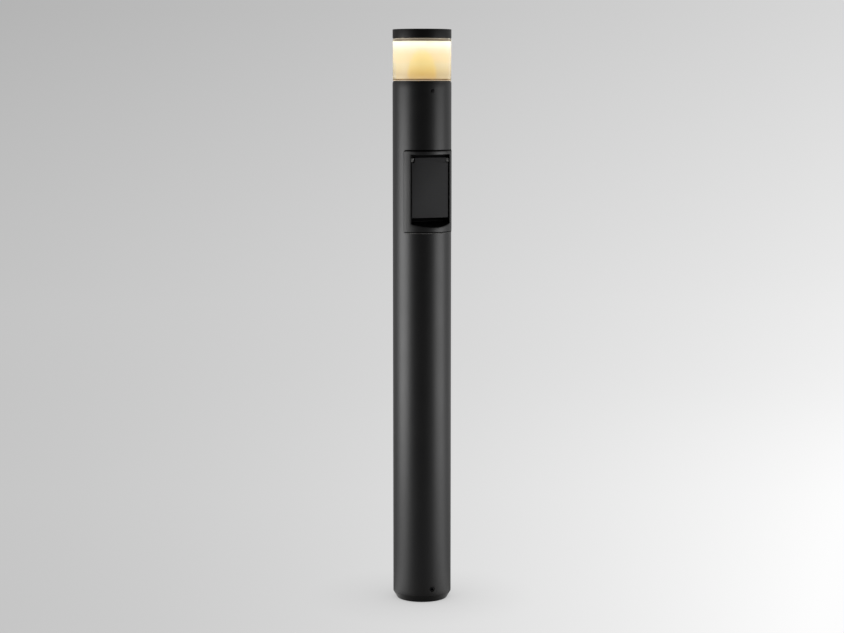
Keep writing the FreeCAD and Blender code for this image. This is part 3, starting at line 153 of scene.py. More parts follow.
def loft(loops: list[Points], closed: bool = False, ends: bool = True) -> Skin:
    """A skin through closed loops that have the same number of points.

    Args:
        loops: each is points by 3, in order along the skin.
        closed: join the last loop to the first.
        ends: fill the first and last loop with one flat face each, unless closed.

    Returns:
        The skin. Every loop is closed by its own first point, and equal places are joined later.
    """
    stack = np.stack(loops + ([loops[0]] if closed else []))
    skin = sheet(np.concatenate([stack, stack[:, :1]], axis=1))
    if ends and not closed:
        for loop in (loops[0], loops[-1]):
            skin += Skin(loop, [list(range(len(loop)))])
    return skin


def rounded(corners: list[tuple[float, float, float]], steps: int = 5, closed: bool = True) -> Profile:
    """An outline with its corners rounded.

    Args:
        corners: (u, v, radius) in order.
        steps: arc pieces for each rounded corner.
        closed: whether the last corner runs on to the first.

    Returns:
        (u, v) rows. An arc of the corner's radius touches both sides, at radius / tan(half angle)
        from the corner.
    """
    rows: list[tuple[float, float]] = []
    count = len(corners)
    for i, (u, v, radius) in enumerate(corners):
        here = np.array([u, v])
        if radius <= 0 or (not closed and i in (0, count - 1)):
            rows.append((u, v))
            continue
        before = np.array(corners[i - 1][:2]) - here
        after = np.array(corners[(i + 1) % count][:2]) - here
        before, after = before / np.linalg.norm(before), after / np.linalg.norm(after)
        half = math.acos(float(np.clip(before @ after, -1, 1))) / 2
        centre = here + (before + after) / np.linalg.norm(before + after) * radius / math.sin(half)
        start, end = here + before * radius / math.tan(half), here + after * radius / math.tan(half)
        a = math.atan2(*(start - centre)[::-1])
        b = math.atan2(*(end - centre)[::-1])
        b = a + (b - a + math.pi) % (2 * math.pi) - math.pi
        turn = np.linspace(a, b, steps + 1)
        rows += list(zip(centre[0] + radius * np.cos(turn), centre[1] + radius * np.sin(turn)))
    return np.array(rows)


def block(low: tuple[float, float], high: tuple[float, float], radii: tuple[float, ...], steps: int = 5,
          closed: bool = True) -> Profile:
    """A rectangle with rounded corners.

    Args:
        low: its lower left corner.
        high: its upper right corner.
        radii: its corners' radii, counter-clockwise from the low one.
        steps: arc pieces for each rounded corner.
        closed: whether its left side belongs to it.

    Returns:
        (u, v) rows.
    """
    (left, foot), (right, top) = low, high
    return rounded(list(zip((left, right, right, left), (foot, foot, top, top), radii)), steps, closed)


def turned(outline: Profile, axis: Axis = Axis.Z, centre: tuple[float, float, float] = (0, 0, 0),
           columns: int = COLUMNS, closed: bool = True) -> Skin:
    """A piece turned about an axis.

    Args:
        outline: (radius, place along the axis) rows.
        axis: the axis of turning.
        centre: a point on the axis.
        columns: steps around.
        closed: whether the outline closes on itself; an open one starts and ends on the axis.

    Returns:
        The skin. Point (i, a) is radius_i (cos a, sin a) across the axis and place_i along it.
    """
    rows = np.vstack([outline, outline[:1]]) if closed else outline
    angle = np.linspace(0, 2 * math.pi, columns + 1)
    across, along = rows[:, :1] * np.cos(angle), rows[:, :1] * np.sin(angle)
    place = np.repeat(rows[:, 1:], columns + 1, axis=1)
    order = {Axis.Z: (across, along, place), Axis.X: (place, across, along), Axis.Y: (along, place, across)}
    return sheet(np.stack(order[axis], axis=-1) + np.array(centre))


def offset(outline: Profile, inset: float) -> Profile:
    """A closed outline moved inwards.

    Args:
        outline: (u, v) rows, counter-clockwise.
        inset: distance in millimetres.

    Returns:
        Each point moved along the mean of its two sides' inward normals, by inset / cos(half turn).
    """
    before = outline - np.roll(outline, 1, axis=0)
    after = np.roll(outline, -1, axis=0) - outline
    before /= np.linalg.norm(before, axis=1, keepdims=True)
    after /= np.linalg.norm(after, axis=1, keepdims=True)
    mean = before + after
    mean /= np.linalg.norm(mean, axis=1, keepdims=True)
    cosine = np.sum(mean * after, axis=1, keepdims=True)
    return outline + np.stack([-mean[:, 1], mean[:, 0]], axis=1) * inset / cosine


def slab(outline: Profile, back: float, front: float, edge: float) -> Skin:
    """A plate seen from the front, with rounded front and back edges.

    Args:
        outline: (x, z) rows, counter-clockwise as seen from the front.
        back: depth of its back face, towards the front from the pole's axis.
        front: depth of its front face.
        edge: radius of the rounding.

    Returns:
        The skin. Towards each face the outline goes in by edge (1 - cos a) while the depth goes on
        by edge sin a.
    """
    turn = np.linspace(0, math.pi / 2, 5)
    steps = [(back + edge * (1 - math.sin(a)), edge * (1 - math.cos(a))) for a in turn[::-1]]
    steps += [(front - edge * (1 - math.sin(a)), edge * (1 - math.cos(a))) for a in turn]
    loops = []
    for depth, inset in steps:
        ring = offset(outline, inset) if inset > 0 else outline
        loops.append(np.column_stack([ring[:, 0], np.full(len(ring), -depth), ring[:, 1]]))
    return loft(loops)


def merged(mesh: bpy.types.Mesh, reach: float, finish: Callable[[bmesh.types.BMesh], Any]) -> None:
    """Join a mesh's equal places and make it smooth.

    Args:
        mesh: the mesh.
        reach: metres within which points become one.
        finish: what else is done to it.
    """
    tidy = bmesh.new()
    tidy.from_mesh(mesh)
    bmesh.ops.remove_doubles(tidy, verts=tidy.verts, dist=reach)
    finish(tidy)
    tidy.to_mesh(mesh)
    tidy.free()
    mesh.polygons.foreach_set("use_smooth", [True] * len(mesh.polygons))


def joined(name: str, skin: Skin, reach: float = MERGE, inwards: bool = False) -> bpy.types.Mesh:
    """A mesh of a skin.

    Args:
        name: the mesh's name.
        skin: its points and faces.
        reach: metres within which points become one.
        inwards: turn the faces to the inside.

    Returns:
        The mesh in metres, with its faces all one way.
    """
    def face(tidy: bmesh.types.BMesh) -> None:
        """Turn all faces one way."""
        bmesh.ops.recalc_face_normals(tidy, faces=tidy.faces)
        if inwards:
            bmesh.ops.reverse_faces(tidy, faces=tidy.faces)

    mesh = bpy.data.meshes.new(name)
    mesh.from_pydata((skin.points * METRE).tolist(), [], skin.faces)
    merged(mesh, reach, face)
    return mesh


# ---------------------------------------------------------------- finishes
class Tree:
    """A material's nodes, with the coordinates that its patterns use."""

    def __init__(self, name: str) -> None:
        """Make the material, and sockets for the place, its height and its reach from the axis.

        Args:
            name: the material's name.
        """
        self.material = bpy.data.materials.new(name)
        self.material.use_nodes = True
        self.material.node_tree.nodes.clear()
        self.place = self.add("TexCoord").outputs["Object"]
        self.height = self.add("SeparateXYZ", (self.place,)).outputs["Z"]
        level = self.add("VectorMath", (self.place, (1.0, 1.0, 0.0)), operation="MULTIPLY")
        self.reach = self.add("VectorMath", (level,), operation="LENGTH").outputs["Value"]

    def add(self, kind: str, values: dict[Any, Any] | tuple[Any, ...] = (), stops: Stops = (),
            **settings: Any) -> Any:
        """Add one node.

        Args:
            kind: the shader node's type name.
            values: what its inputs get, by name or number or in their order: a plain value, a
                socket, or a node whose first output is linked.
            stops: the stops of a colour ramp.
            settings: the node's own properties.

        Returns:
            The node.
        """
        made = self.material.node_tree.nodes.new(f"ShaderNode{kind}")
        for key, value in settings.items():
            setattr(made, key, value)
        for i, (place, code) in enumerate(stops):
            elements = made.color_ramp.elements
            stop = elements[i] if i < 2 else elements.new(place)
            stop.position, stop.color = place, linear(code)
        self.feed(made, values if isinstance(values, dict) else dict(enumerate(values)))
        return made

    def feed(self, node: Any, values: dict[Any, Any]) -> None:
        """Set or link a node's inputs.

        Args:
            node: the node.
            values: what its inputs get, by name or number.
        """
        for key, value in values.items():
            source = value.outputs[0] if isinstance(value, bpy.types.Node) else value
            if isinstance(source, bpy.types.NodeSocket):
                self.material.node_tree.links.new(source, node.inputs[key])
            else:
                node.inputs[key].default_value = source

    def join(self, operation: str, *values: Any) -> Any:
        """Values joined in turn by one operation, such as ADD."""
        return reduce(lambda one, other: self.add("Math", (one, other), operation=operation), values)

    def within(self, value: Any, low: float, high: float) -> Any:
        """1 where a socket's metres lie between two heights or radii in millimetres, else 0."""
        return self.join("MULTIPLY", self.join("GREATER_THAN", value, low * METRE),
                         self.join("LESS_THAN", value, high * METRE))

    def graded(self, glow: Stops) -> tuple[Any, Any]:
        """The height as a share of a range of colours, and the colour there.

        Args:
            glow: the colours by height in millimetres.

        Returns:
            Both nodes.
        """
        foot, top = glow[0][0], glow[-1][0]
        part = self.add("MapRange", (self.height, foot * METRE, top * METRE))
        stops = tuple(((z - foot) / (top - foot), code) for z, code in glow)
        return part, self.add("ValToRGB", (part,), stops)


def per(size_mm: float) -> float:
    """A texture scale in the frame's metres whose features are about size_mm apart."""
    return 1 / (size_mm * METRE)


@dataclass(frozen=True)
class Surface:
    """An opaque finish: a colour that drifts a little, a grain, and wear in its gloss.

    Args:
        colour: the main sRGB colour.
        drift: a second colour that the first one drifts to.
        drift_mm: size of the drift.
        grain_mm: size of the grain.
        grain_depth: strength of the grain's bump, 0 to 1.
        roughness: the gloss of clean and of worn places.
        metallic: 0 or 1.
        ior: index of refraction of a non-metal.
        stretch: the grain's frequency along each axis.
        drifting: noise values between which the colour drifts.
        wearing: noise values between which the gloss wears.
        relief: depth of the grain as a share of its size.
    """

    colour: str
    drift: str
    drift_mm: float
    grain_mm: float
    grain_depth: float
    roughness: tuple[float, float]
    metallic: float = 0.0
    ior: float = 1.5
    stretch: tuple[float, float, float] = (1.0, 1.0, 1.0)
    drifting: tuple[float, float] = (0.35, 0.7)
    wearing: tuple[float, float] = (0.3, 0.7)
    relief: float = 0.3

    def make(self, name: str) -> bpy.types.Material:
        """The material of this finish.

        Args:
            name: the material's name.

        Returns:
            The material. The slow noise wears the gloss, and the grain's noise is its bump.
        """
        tree = Tree(name)
        aim = tree.add("Mapping", {"Vector": tree.place, "Scale": self.stretch})
        broad = tree.add("TexNoise", {"Vector": tree.place, "Scale": per(self.drift_mm), "Detail": 4.0,
                                      "Roughness": 0.6})
        fine = tree.add("TexNoise", {"Vector": aim, "Scale": per(self.grain_mm), "Detail": 3.0,
                                     "Roughness": 0.55})
        gloss = tree.add("MapRange", (broad, *self.wearing, *self.roughness))
        bump = tree.add("Bump", {"Height": fine, "Strength": self.grain_depth,
                                 "Distance": self.grain_mm * METRE * self.relief})
        shader = tree.add("BsdfPrincipled", {"Base Color": self.paint(tree, broad, fine), "Roughness": gloss,
                                             "Metallic": self.metallic, "Normal": bump})
        tree.feed(shader, ({} if self.metallic else {"IOR": self.ior}) | self.extra(tree))
        tree.add("OutputMaterial", {"Surface": shader})
        return tree.material

    def paint(self, tree: Tree, broad: Any, fine: Any) -> Any:
        """The colour.

        Args:
            tree: the material's nodes.
            broad: the slow noise.
            fine: the grain's noise.

        Returns:
            A socket: the main colour, drifting to the second where the slow noise is high.
        """
        mixed = tree.add("MapRange", (broad, *self.drifting))
        return tree.add("Mix", {0: mixed, 6: linear(self.colour), 7: linear(self.drift)},
                        data_type="RGBA").outputs[2]

    def extra(self, tree: Tree) -> dict[str, Any]:
        """More of the shader's inputs: none on a plain finish."""
        return {}


@dataclass(frozen=True)
class PowderCoat(Surface):
    """Satin polyester powder coat on metal: a fine orange peel that softens reflections, and a little
    pale dust that rain throws up on the lowest centimetres.

    Args:
        dust_and_highlight: colour of the dust.
        dust_top: height where it ends, in millimetres.
        dust_share: how much of the coat it covers at the ground.
    """

    dust_and_highlight: str = "4a4641"
    dust_top: float = 60.0
    dust_share: float = 0.22

    def paint(self, tree: Tree, broad: Any, fine: Any) -> Any:
        """The coat's colour, with its dust.

        Args:
            tree: the material's nodes.
            broad: the slow noise.
            fine: the grain's noise.

        Returns:
            A socket: the coat, with dust that fades out with height and is broken up by the slow noise.
        """
        coat = super().paint(tree, broad, fine)
        low = tree.add("MapRange", (tree.height, 0.0, self.dust_top * METRE, self.dust_share, 0.0))
        return tree.add("Mix", {0: tree.join("MULTIPLY", low, broad), 6: coat, 7: linear(self.dust_and_highlight)},
                        data_type="RGBA").outputs[2]


@dataclass(frozen=True)
class BezelMoulding(Surface):
    """Grained black moulding as it looks in the pole, with light and shade painted in: a black line of
    painted shadow along its upper seam, a dark one along its lower seam, painted shade over the recess, and a
    pale painted highlight on the rim under the lower seam.

    Args:
        joints: (foot, top) in millimetres of the painted shadow lines along the upper and lower seam, and
            their sRGB colours.
        recess: distance from the pole's axis inside which the recess lies, and the colour of the painted
            shade there.
        dust_and_highlight: height up to which the pale painted highlight on the lower rim reaches, and its
            colour.
        shine: specular level of the moulding, and of its painted shadow lines and shaded recess.
    """

    # Painted shadow lines along the upper and lower seam and painted shade over the recess; a painted
    # highlight on the lower rim.
    joints: tuple[tuple[float, float, str], ...] = ((791.5, 1000.0, "020202"), (651.4, 653.4, "060606"))
    recess: tuple[float, str] = (50.3, "0b0b0b")
    dust_and_highlight: tuple[float, str] = (651.4, "8e8d8a")
    shine: tuple[float, float] = (0.5, 0.06)

    def dark(self, tree: Tree) -> list[tuple[Any, str]]:
        """The places that light doesn't reach.

        Args:
            tree: the material's nodes.

        Returns:
            A mask and a colour of painted shade for the recess and for each seam's shadow line.
        """
        limit, code = self.recess
        lines = [(tree.within(tree.height, foot, top), shade) for foot, top, shade in self.joints]
        return [(tree.within(tree.reach, 0.0, limit), code)] + lines

    def paint(self, tree: Tree, broad: Any, fine: Any) -> Any:
        """The moulding's colour, with painted shade in its recess and seam lines and a painted highlight on
        its lower rim.

        Args:
            tree: the material's nodes.
            broad: the slow noise.
            fine: the grain's noise.

        Returns:
            A socket: each mask mixes its colour in, and the painted highlight's colour is broken up by the
                grain.
        """
        colour = super().paint(tree, broad, fine)
        top, code = self.dust_and_highlight
        # A pale painted highlight on the rounded rim below the lower seam, broken up by the grain.
        painted_highlight = tree.join("MULTIPLY", tree.within(tree.height, 0.0, top), fine)
        for mask, shade in self.dark(tree) + [(painted_highlight, code)]:
            colour = tree.add("Mix", {0: mask, 6: colour, 7: linear(shade)}, data_type="RGBA").outputs[2]
        return colour

    def extra(self, tree: Tree) -> dict[str, Any]:
        """A specular level that is dull where the recess and the seam lines carry painted shade."""
        dull = tree.join("MAXIMUM", *(mask for mask, _ in self.dark(tree)))
        return {"Specular IOR Level": tree.add("MapRange", (dull, 0.0, 1.0, *self.shine))}


@dataclass(frozen=True)
class LitSurface(Surface):
    """A surface that the lamps light so strongly that it counts as a light of its own.

    Args:
        glow: its light by height in millimetres.
        strength: how strong the light is.
    """

    glow: Stops = ()
    strength: float = 1.0

    def extra(self, tree: Tree) -> dict[str, Any]:
        """The light's colour and strength."""
        return {"Emission Color": tree.graded(self.glow)[1], "Emission Strength": self.strength}


@dataclass(frozen=True)
class OpalAcrylic:
    """Extruded opal acrylic over the light: it glows, whiter near the lamps above and more golden
    below, lets the reflector behind it show as a soft shape, and has painted shade in dark bands along the
    rings it joins.

    Args:
        glow: the light that it scatters by height in millimetres, with dark bands of painted shade along the
            rings it joins.
        body: the acrylic's colour by height as a share, with darker bands of painted shade along the rings it
            joins.
        share: how much of what lies behind passes through.
        haze: roughness of that passage.
        ior: index of refraction, low because both faces of the thin wall bend the light back.
        frost_mm: size of the face's frost. It is drawn coarser than the real one, which is too fine
            to show.
        frost_depth: strength of its bump.
        relief: depth of the frost as a share of its size.
        shine: specular level of the frosted face.
    """

    glow: Stops
    body: Stops
    share: float = 0.65
    haze: float = 0.17
    ior: float = 1.2
    frost_mm: float = 2.0
    frost_depth: float = 0.08
    relief: float = 0.15
    shine: float = 0.2

    def make(self, name: str) -> bpy.types.Material:
        """The material of this finish.

        Args:
            name: the material's name.

        Returns:
            The material. Its own colour and its glow change with height, and the frost is its bump.
        """
        tree = Tree(name)
        part, glow = tree.graded(self.glow)
        frost = tree.add("TexNoise", {"Vector": tree.place, "Scale": per(self.frost_mm), "Detail": 3.0})
        bump = tree.add("Bump", {"Height": frost, "Strength": self.frost_depth,
                                 "Distance": self.frost_mm * METRE * self.relief})
        shader = tree.add("BsdfPrincipled", {
            "Base Color": tree.add("ValToRGB", (part,), self.body), "Roughness": self.haze, "IOR": self.ior,
            "Transmission Weight": self.share, "Emission Color": glow, "Emission Strength": 1.0,
            "Normal": bump, "Specular IOR Level": self.shine})
        tree.add("OutputMaterial", {"Surface": shader})
        return tree.material


class Finishes:
    """Every finish of the part, by the record's slot."""

    def __init__(self) -> None:
        """Make each material once."""
        self.by_slot: dict[str, bpy.types.Material] = {
            # Polyester powder coat: satin black. Its grain is drawn 1.6 mm wide, because a real
            # 0.2 mm orange peel is too fine to show.
            "powder_coat": PowderCoat("171718", "1a1a1a", 90.0, 1.6, 0.10, (0.38, 0.43)).make(
                "satin black powder coat"),
            "cap_coat": PowderCoat("100f0e", "131211", 60.0, 1.6, 0.12, (0.42, 0.48), ior=1.36).make(
                "satin black powder coat on the cap"),
            # Spark-eroded ABS and polycarbonate mouldings: a dull, even grain.
            # The bezel's finish paints shade into its recess and seam lines, and a highlight on its rim below
            # the lower seam.
            "bezel_plastic": BezelMoulding("1a1a1a", "1d1d1d", 40.0, 1.0, 0.25, (0.42, 0.48)).make(
                "grained black bezel"),
            "lid_plastic": Surface("414142", "444445", 50.0, 1.0, 0.22, (0.66, 0.72), ior=1.36).make(
                "grained black lid"),
            "box_plastic": Surface("101010", "131313", 40.0, 1.2, 0.2, (0.55, 0.62)).make("black socket box"),
            "insert_plastic": Surface("1e1e1f", "212122", 30.0, 0.8, 0.15, (0.36, 0.43)).make("black insert"),
            "bracket": Surface("7a7a78", "6c6c6a", 6.0, 0.8, 0.2, (0.4, 0.5)).make("grey hinge bracket"),
            "grey_plastic": Surface("7c7e80", "737577", 30.0, 1.0, 0.2, (0.45, 0.55)).make("grey moulding"),
            "white_plastic": Surface("d6d6d0", "cbcbc4", 20.0, 0.8, 0.15, (0.4, 0.5)).make("white moulding"),
            "driver_plastic": Surface("cacac4", "c0c0ba", 25.0, 1.0, 0.2, (0.45, 0.55)).make("driver case"),
            # Metals: a soft gleam, with the tool's fine marks drawn out along one axis where they show.
            "stainless": Surface("a9a8a4", "96958f", 8.0, 0.7, 0.25, (0.28, 0.4), 1.0,
                                 stretch=(1.0, 1.0, 0.15)).make("turned stainless steel"),
            "black_steel": Surface("303031", "272728", 6.0, 0.7, 0.2, (0.42, 0.5), 1.0).make(
                "blackened steel"),
            "raw_aluminium": Surface("b9b9b8", "a9a9a8", 20.0, 0.8, 0.3, (0.3, 0.42), 1.0,
                                     stretch=(1.0, 0.1, 1.0)).make("machined aluminium"),
            "brass": Surface("c7a357", "b8924a", 6.0, 0.6, 0.25, (0.25, 0.35), 1.0).make("turned brass"),
            # Zinc plate, solder mask, coated aluminium, phosphor and opal acrylic: what the lamps light.
            "zinc_steel": LitSurface("a7a9a8", "8f9392", 14.0, 1.2, 0.2, (0.35, 0.5), 1.0,
                                     glow=((955.0, "000000"), (966.0, "e8dab0"), (974.0, "fff4e0"))).make(
                "zinc plate"),
            "board": Surface("d9d8d2", "cfcec8", 12.0, 1.0, 0.1, (0.4, 0.5)).make("white solder mask"),
            "reflector": LitSurface("c9b98a", "bfae7d", 20.0, 1.0, 0.1, (0.4, 0.5), glow=(
                (914.5, "8c6000"), (922.0, "c89e00"), (940.0, "caaf00"), (957.0, "ced47c"),
                (966.0, "dcdba0"))).make("lit reflector"),
            "led": LitSurface("ffe9a8", "ffe9a8", 3.0, 0.5, 0.1, (0.3, 0.35), strength=1.6,
                              glow=((976.0, "fff3d0"), (980.0, "fff3d0"))).make("lit phosphor"),
            # The dark stops of both ramps below are painted shade along the rings at the acrylic's lower and
            # upper end.
            "opal": OpalAcrylic((
                (912.0, "766854"), (913.2, "766854"), (913.6, "100a02"), (915.1, "100a02"),
                (916.0, "5c5238"), (922.0, "483d14"), (931.0, "5f5430"), (940.0, "696349"),
                (948.0, "766745"), (957.0, "816c4f"), (966.0, "86796c"), (974.0, "a09f92"),
                (979.0, "a09f92"), (979.8, "15110b"), (982.0, "15110b"), (982.9, "3a362f"),
                (984.3, "3a362f")), (
                (0.0, "f2ece0"), (0.018, "f2ece0"), (0.022, "c2ab7c"), (0.042, "c2ab7c"),
                (0.05, "f2ece0"), (0.935, "f2ece0"), (0.943, "c6baa8"), (0.968, "c6baa8"),
                (0.975, "f2ece0"))).make("glowing opal acrylic"),
            # Rubber and PVC: soft and nearly without gloss.
            "seal_rubber": Surface("0c0c0c", "101010", 15.0, 0.8, 0.3, (0.7, 0.8)).make("seal rubber"),
            "cable": Surface("121212", "161616", 10.0, 0.8, 0.3, (0.5, 0.62)).make("cable sheath"),
        }

    def __getitem__(self, slot: str) -> bpy.types.Material:
        """The material of a slot."""
        return self.by_slot[slot]

    def dress_frame(self) -> None:
        """Give every frame node the finish of its slot."""
        for entry in frame["record"]["subparts"]:
            for material_slot in frame["nodes"][entry["node"]].material_slots:
                material_slot.material = self[entry["material_slot"]]


@dataclass(frozen=True)
class Bench:
    """Turns skins and frame nodes into dressed pieces of the part.

    Args:
        finishes: the finishes by slot.
        sharp: edges that turn by more degrees than this stay sharp or get the rounding.
    """

    finishes: Finishes
    sharp: float = 32.0

    def dress(self, name: str, mesh: bpy.types.Mesh, slot: str, node: str, body: Body) -> bpy.types.Object:
        """Link a mesh as a piece of the part.

        Args:
            name: the new object's name.
            mesh: its mesh in metres.
            slot: the record's material slot.
            node: the frame's node that it stands for.
            body: the body that it rides on.

        Returns:
            The object, at the origin.
        """
        mesh.set_sharp_from_angle(angle=math.radians(self.sharp))
        mesh.materials.clear()
        mesh.materials.append(self.finishes[slot])
        made = bpy.data.objects.new(name, mesh)
        bpy.context.scene.collection.objects.link(made)
        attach(made, body.value)
        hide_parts(node)
        log.info("%s: %d faces", name, len(mesh.polygons))
        return made

    def piece(self, name: str, skin: Skin, slot: str, node: str, body: Body = Body.POST) -> None:
        """Make a piece of a skin, as dress does of a mesh."""
        self.dress(name, joined(name, skin), slot, node, body)

    def copy(self, name: str, node: str, slot: str, edge: float = 0.0, body: Body = Body.POST) -> None:
        """Make a merged copy of a frame node that stands for it.

        Args:
            name: the new object's name.
            node: the frame's node.
            slot: the record's material slot.
            edge: width of its rounded edges in millimetres, or 0 for none.
            body: the body that it rides on.
        """
        mesh = frame["nodes"][node].data.copy()
        merged(mesh, MERGE, lambda tidy: bmesh.ops.dissolve_limit(
            tidy, angle_limit=math.radians(FLAT), verts=tidy.verts, edges=tidy.edges))
        made = self.dress(name, mesh, slot, node, body)
        if edge > 0:
            bevel = made.modifiers.new("soft edges", "BEVEL")
            bevel.width, bevel.segments = edge * METRE, 2
            bevel.limit_method, bevel.angle_limit = "ANGLE", math.radians(self.sharp)
            bevel.harden_normals = True


# ---------------------------------------------------------------- sub-assemblies
@dataclass
class Hole:
    """A round hole through the tube's wall.

    Args:
        angle: degrees from the socket's side.
        height: its centre.
        radius: its radius.
        reach: half the height of the square of mesh around it.
        columns: half the width of that square in columns.
    """

    angle: float
    height: float
    radius: float
    reach: float
    columns: int


@dataclass
class Pole:
    """The drawn tube with its window and six screw holes, and the foot that it stands on.

    Args:
        radius: radius of the tube's outer face.
        bore: radius of its inner face.
        foot: height of its lower end.
        top: height of its upper end.
        window_half: half the window's width.
        window: heights of its edges.
        window_column: degrees of the mesh column that is moved to its side.
        moved: degrees between which other columns move along.
        grub_angles: where the set screws stand.
        grub_heights: heights of their two rows.
        edge: radius of the rounding at the tube's ends.
        holes: the screws' holes.
    """

    radius: float = 51.0
    bore: float = 48.0
    foot: float = 11.5
    top: float = 909.5
    window_half: float = 42.5
    window: tuple[float, float] = (654.0, 791.0)
    window_column: float = 57.0
    moved: tuple[float, float] = (20.0, 100.0)
    grub_angles: tuple[float, ...] = (-3.0, 117.0, 237.0)
    grub_heights: tuple[float, float] = (24.0, 895.0)
    edge: float = 0.4
    holes: list[Hole] = field(default_factory=list)

    def __post_init__(self) -> None:
        """Place the two rows of holes."""
        low, high = self.grub_heights
        for angle in self.grub_angles:
            self.holes += [Hole(angle, low, 4.6, 5.6, 4), Hole(angle, high, 3.1, 4.2, 3)]

    def base(self) -> np.ndarray:
        """The even angles of the mesh columns, from the back around."""
        return np.linspace(-180, 180, COLUMNS + 1)

    def columns_at(self, radius: float) -> np.ndarray:
        """The angles of the mesh columns on a cylinder.

        Args:
            radius: the cylinder's radius.

        Returns:
            Degrees, even but for the moved ones, so that a column meets the window's flat side at
            arcsin(window half width / radius).
        """
        base, (near, far) = self.base(), self.moved
        side = math.degrees(math.asin(self.window_half / radius))
        even = [0, near, self.window_column, far, 180]
        return np.sign(base) * np.interp(np.abs(base), even, [0, near, side, far, 180])

    def rows(self) -> np.ndarray:
        """The heights of the mesh rows.

        Returns:
            Millimetres, rising: 45 apart, and more at the ends, the window and each hole. At an end they
            rise by e (1 - cos a) for a rounding e.
        """
        rise = self.edge * (1 - np.cos(np.linspace(0, math.pi / 2, 5)))
        parts = [self.foot + rise, self.top - rise, np.array(self.window), np.arange(60, 880, 45.0)]
        for hole in self.holes:
            parts.append(hole.height + hole.reach * np.linspace(-1, 1, 2 * hole.columns + 1))
        return np.unique(np.round(np.concatenate(parts), 5))

    def wall(self, radius: float, soften: bool) -> tuple[Points, np.ndarray]:
        """One face of the tube's wall.

        Args:
            radius: the face's radius.
            soften: round its two ends.

        Returns:
            The grid, and the mask of quads outside the window and the hole squares. Near an end the
            radius is r - e + sqrt(e^2 - (e - rise)^2) for a rounding e.
        """
        heights, turn, base = self.rows(), np.radians(self.columns_at(radius)), self.base()
        rise = np.minimum(np.minimum(heights - self.foot, self.top - heights), self.edge)
        drop = self.edge - np.sqrt(np.maximum(self.edge ** 2 - (self.edge - rise) ** 2, 0))
        radii = radius - (drop if soften else 0 * drop)
        points = np.stack([
            radii[:, None] * np.sin(turn), -radii[:, None] * np.cos(turn),
            np.repeat(heights[:, None], len(turn), axis=1)], axis=-1)
        mid_angle, mid_height = (base[:-1] + base[1:]) / 2, (heights[:-1] + heights[1:]) / 2
        tall = (mid_height > self.window[0]) & (mid_height < self.window[1])
        mask = ~(tall[:, None] & (np.abs(mid_angle) < self.window_column)[None, :])
        for hole in self.holes:
            away = np.abs((mid_angle - hole.angle + 180) % 360 - 180) < hole.columns * STEP
            mask &= ~((np.abs(mid_height - hole.height) < hole.reach)[:, None] & away[None, :])
        return points, mask

    def hole_rings(self, hole: Hole, radius: float, soften: bool) -> list[Points]:
        """Loops from the square around a hole to its edge.

        Args:
            hole: the hole.
            radius: the radius of the wall's face.
            soften: round the edge.

        Returns:
            Loops from outside in. A loop point at lateral s, height z and depth d is
            (sqrt(r^2 - s^2) - d) outwards, s sideways and z up.
        """
        n = hole.columns
        side = np.radians(np.linspace(-STEP * n, STEP * n, 2 * n + 1))
        lateral, rise = radius * np.sin(side), hole.reach * np.linspace(-1, 1, 2 * n + 1)
        full = np.ones(2 * n)
        square = np.column_stack([
            np.concatenate([lateral[:-1], lateral[-1] * full, lateral[:0:-1], lateral[0] * full]),
            np.concatenate([-hole.reach * full, rise[:-1], hole.reach * full, rise[:0:-1]])])
        turn = np.arctan2(square[:, 1], square[:, 0])
        circle = np.column_stack([np.cos(turn), np.sin(turn)])
        flat = [(square, 0.0), ((square + circle * (hole.radius + 0.5)) / 2, 0.0)]
        if soften:
            flat += [(circle * (hole.radius + 0.5), 0.0), (circle * (hole.radius + 0.12), 0.06)]
        flat.append((circle * hole.radius, 0.4 if soften else 0.0))
        out, across = heading(hole.angle), heading(hole.angle + 90)
        return [(np.sqrt(radius ** 2 - loop[:, :1] ** 2) - depth) * out + loop[:, :1] * across
                + (loop[:, 1:] + hole.height) * UP for loop, depth in flat]

    def tube(self) -> Skin:
        """The whole tube.

        Returns:
            The skin of both faces, both ends, the window's reveal and the six holes.
        """
        outer, mask = self.wall(self.radius, True)
        inner, _ = self.wall(self.bore, False)
        heights = self.rows()
        rows = np.flatnonzero((heights >= self.window[0] - 1e-6) & (heights <= self.window[1] + 1e-6))
        columns = np.flatnonzero(np.abs(self.base()) <= self.window_column + 0.01)
        edges = [(row, slice(None)) for row in (0, -1)]
        edges += [(rows, column) for column in (columns[0], columns[-1])]
        edges += [(row, columns) for row in (rows[0], rows[-1])]
        skin = sheet(outer, mask) + sheet(inner, mask)
        for edge in edges:
            skin += sheet(np.stack([outer[edge], inner[edge]]))
        for hole in self.holes:
            inside = self.hole_rings(hole, self.bore, False)
            skin += loft(self.hole_rings(hole, self.radius, True) + inside[::-1], ends=False)
        return skin

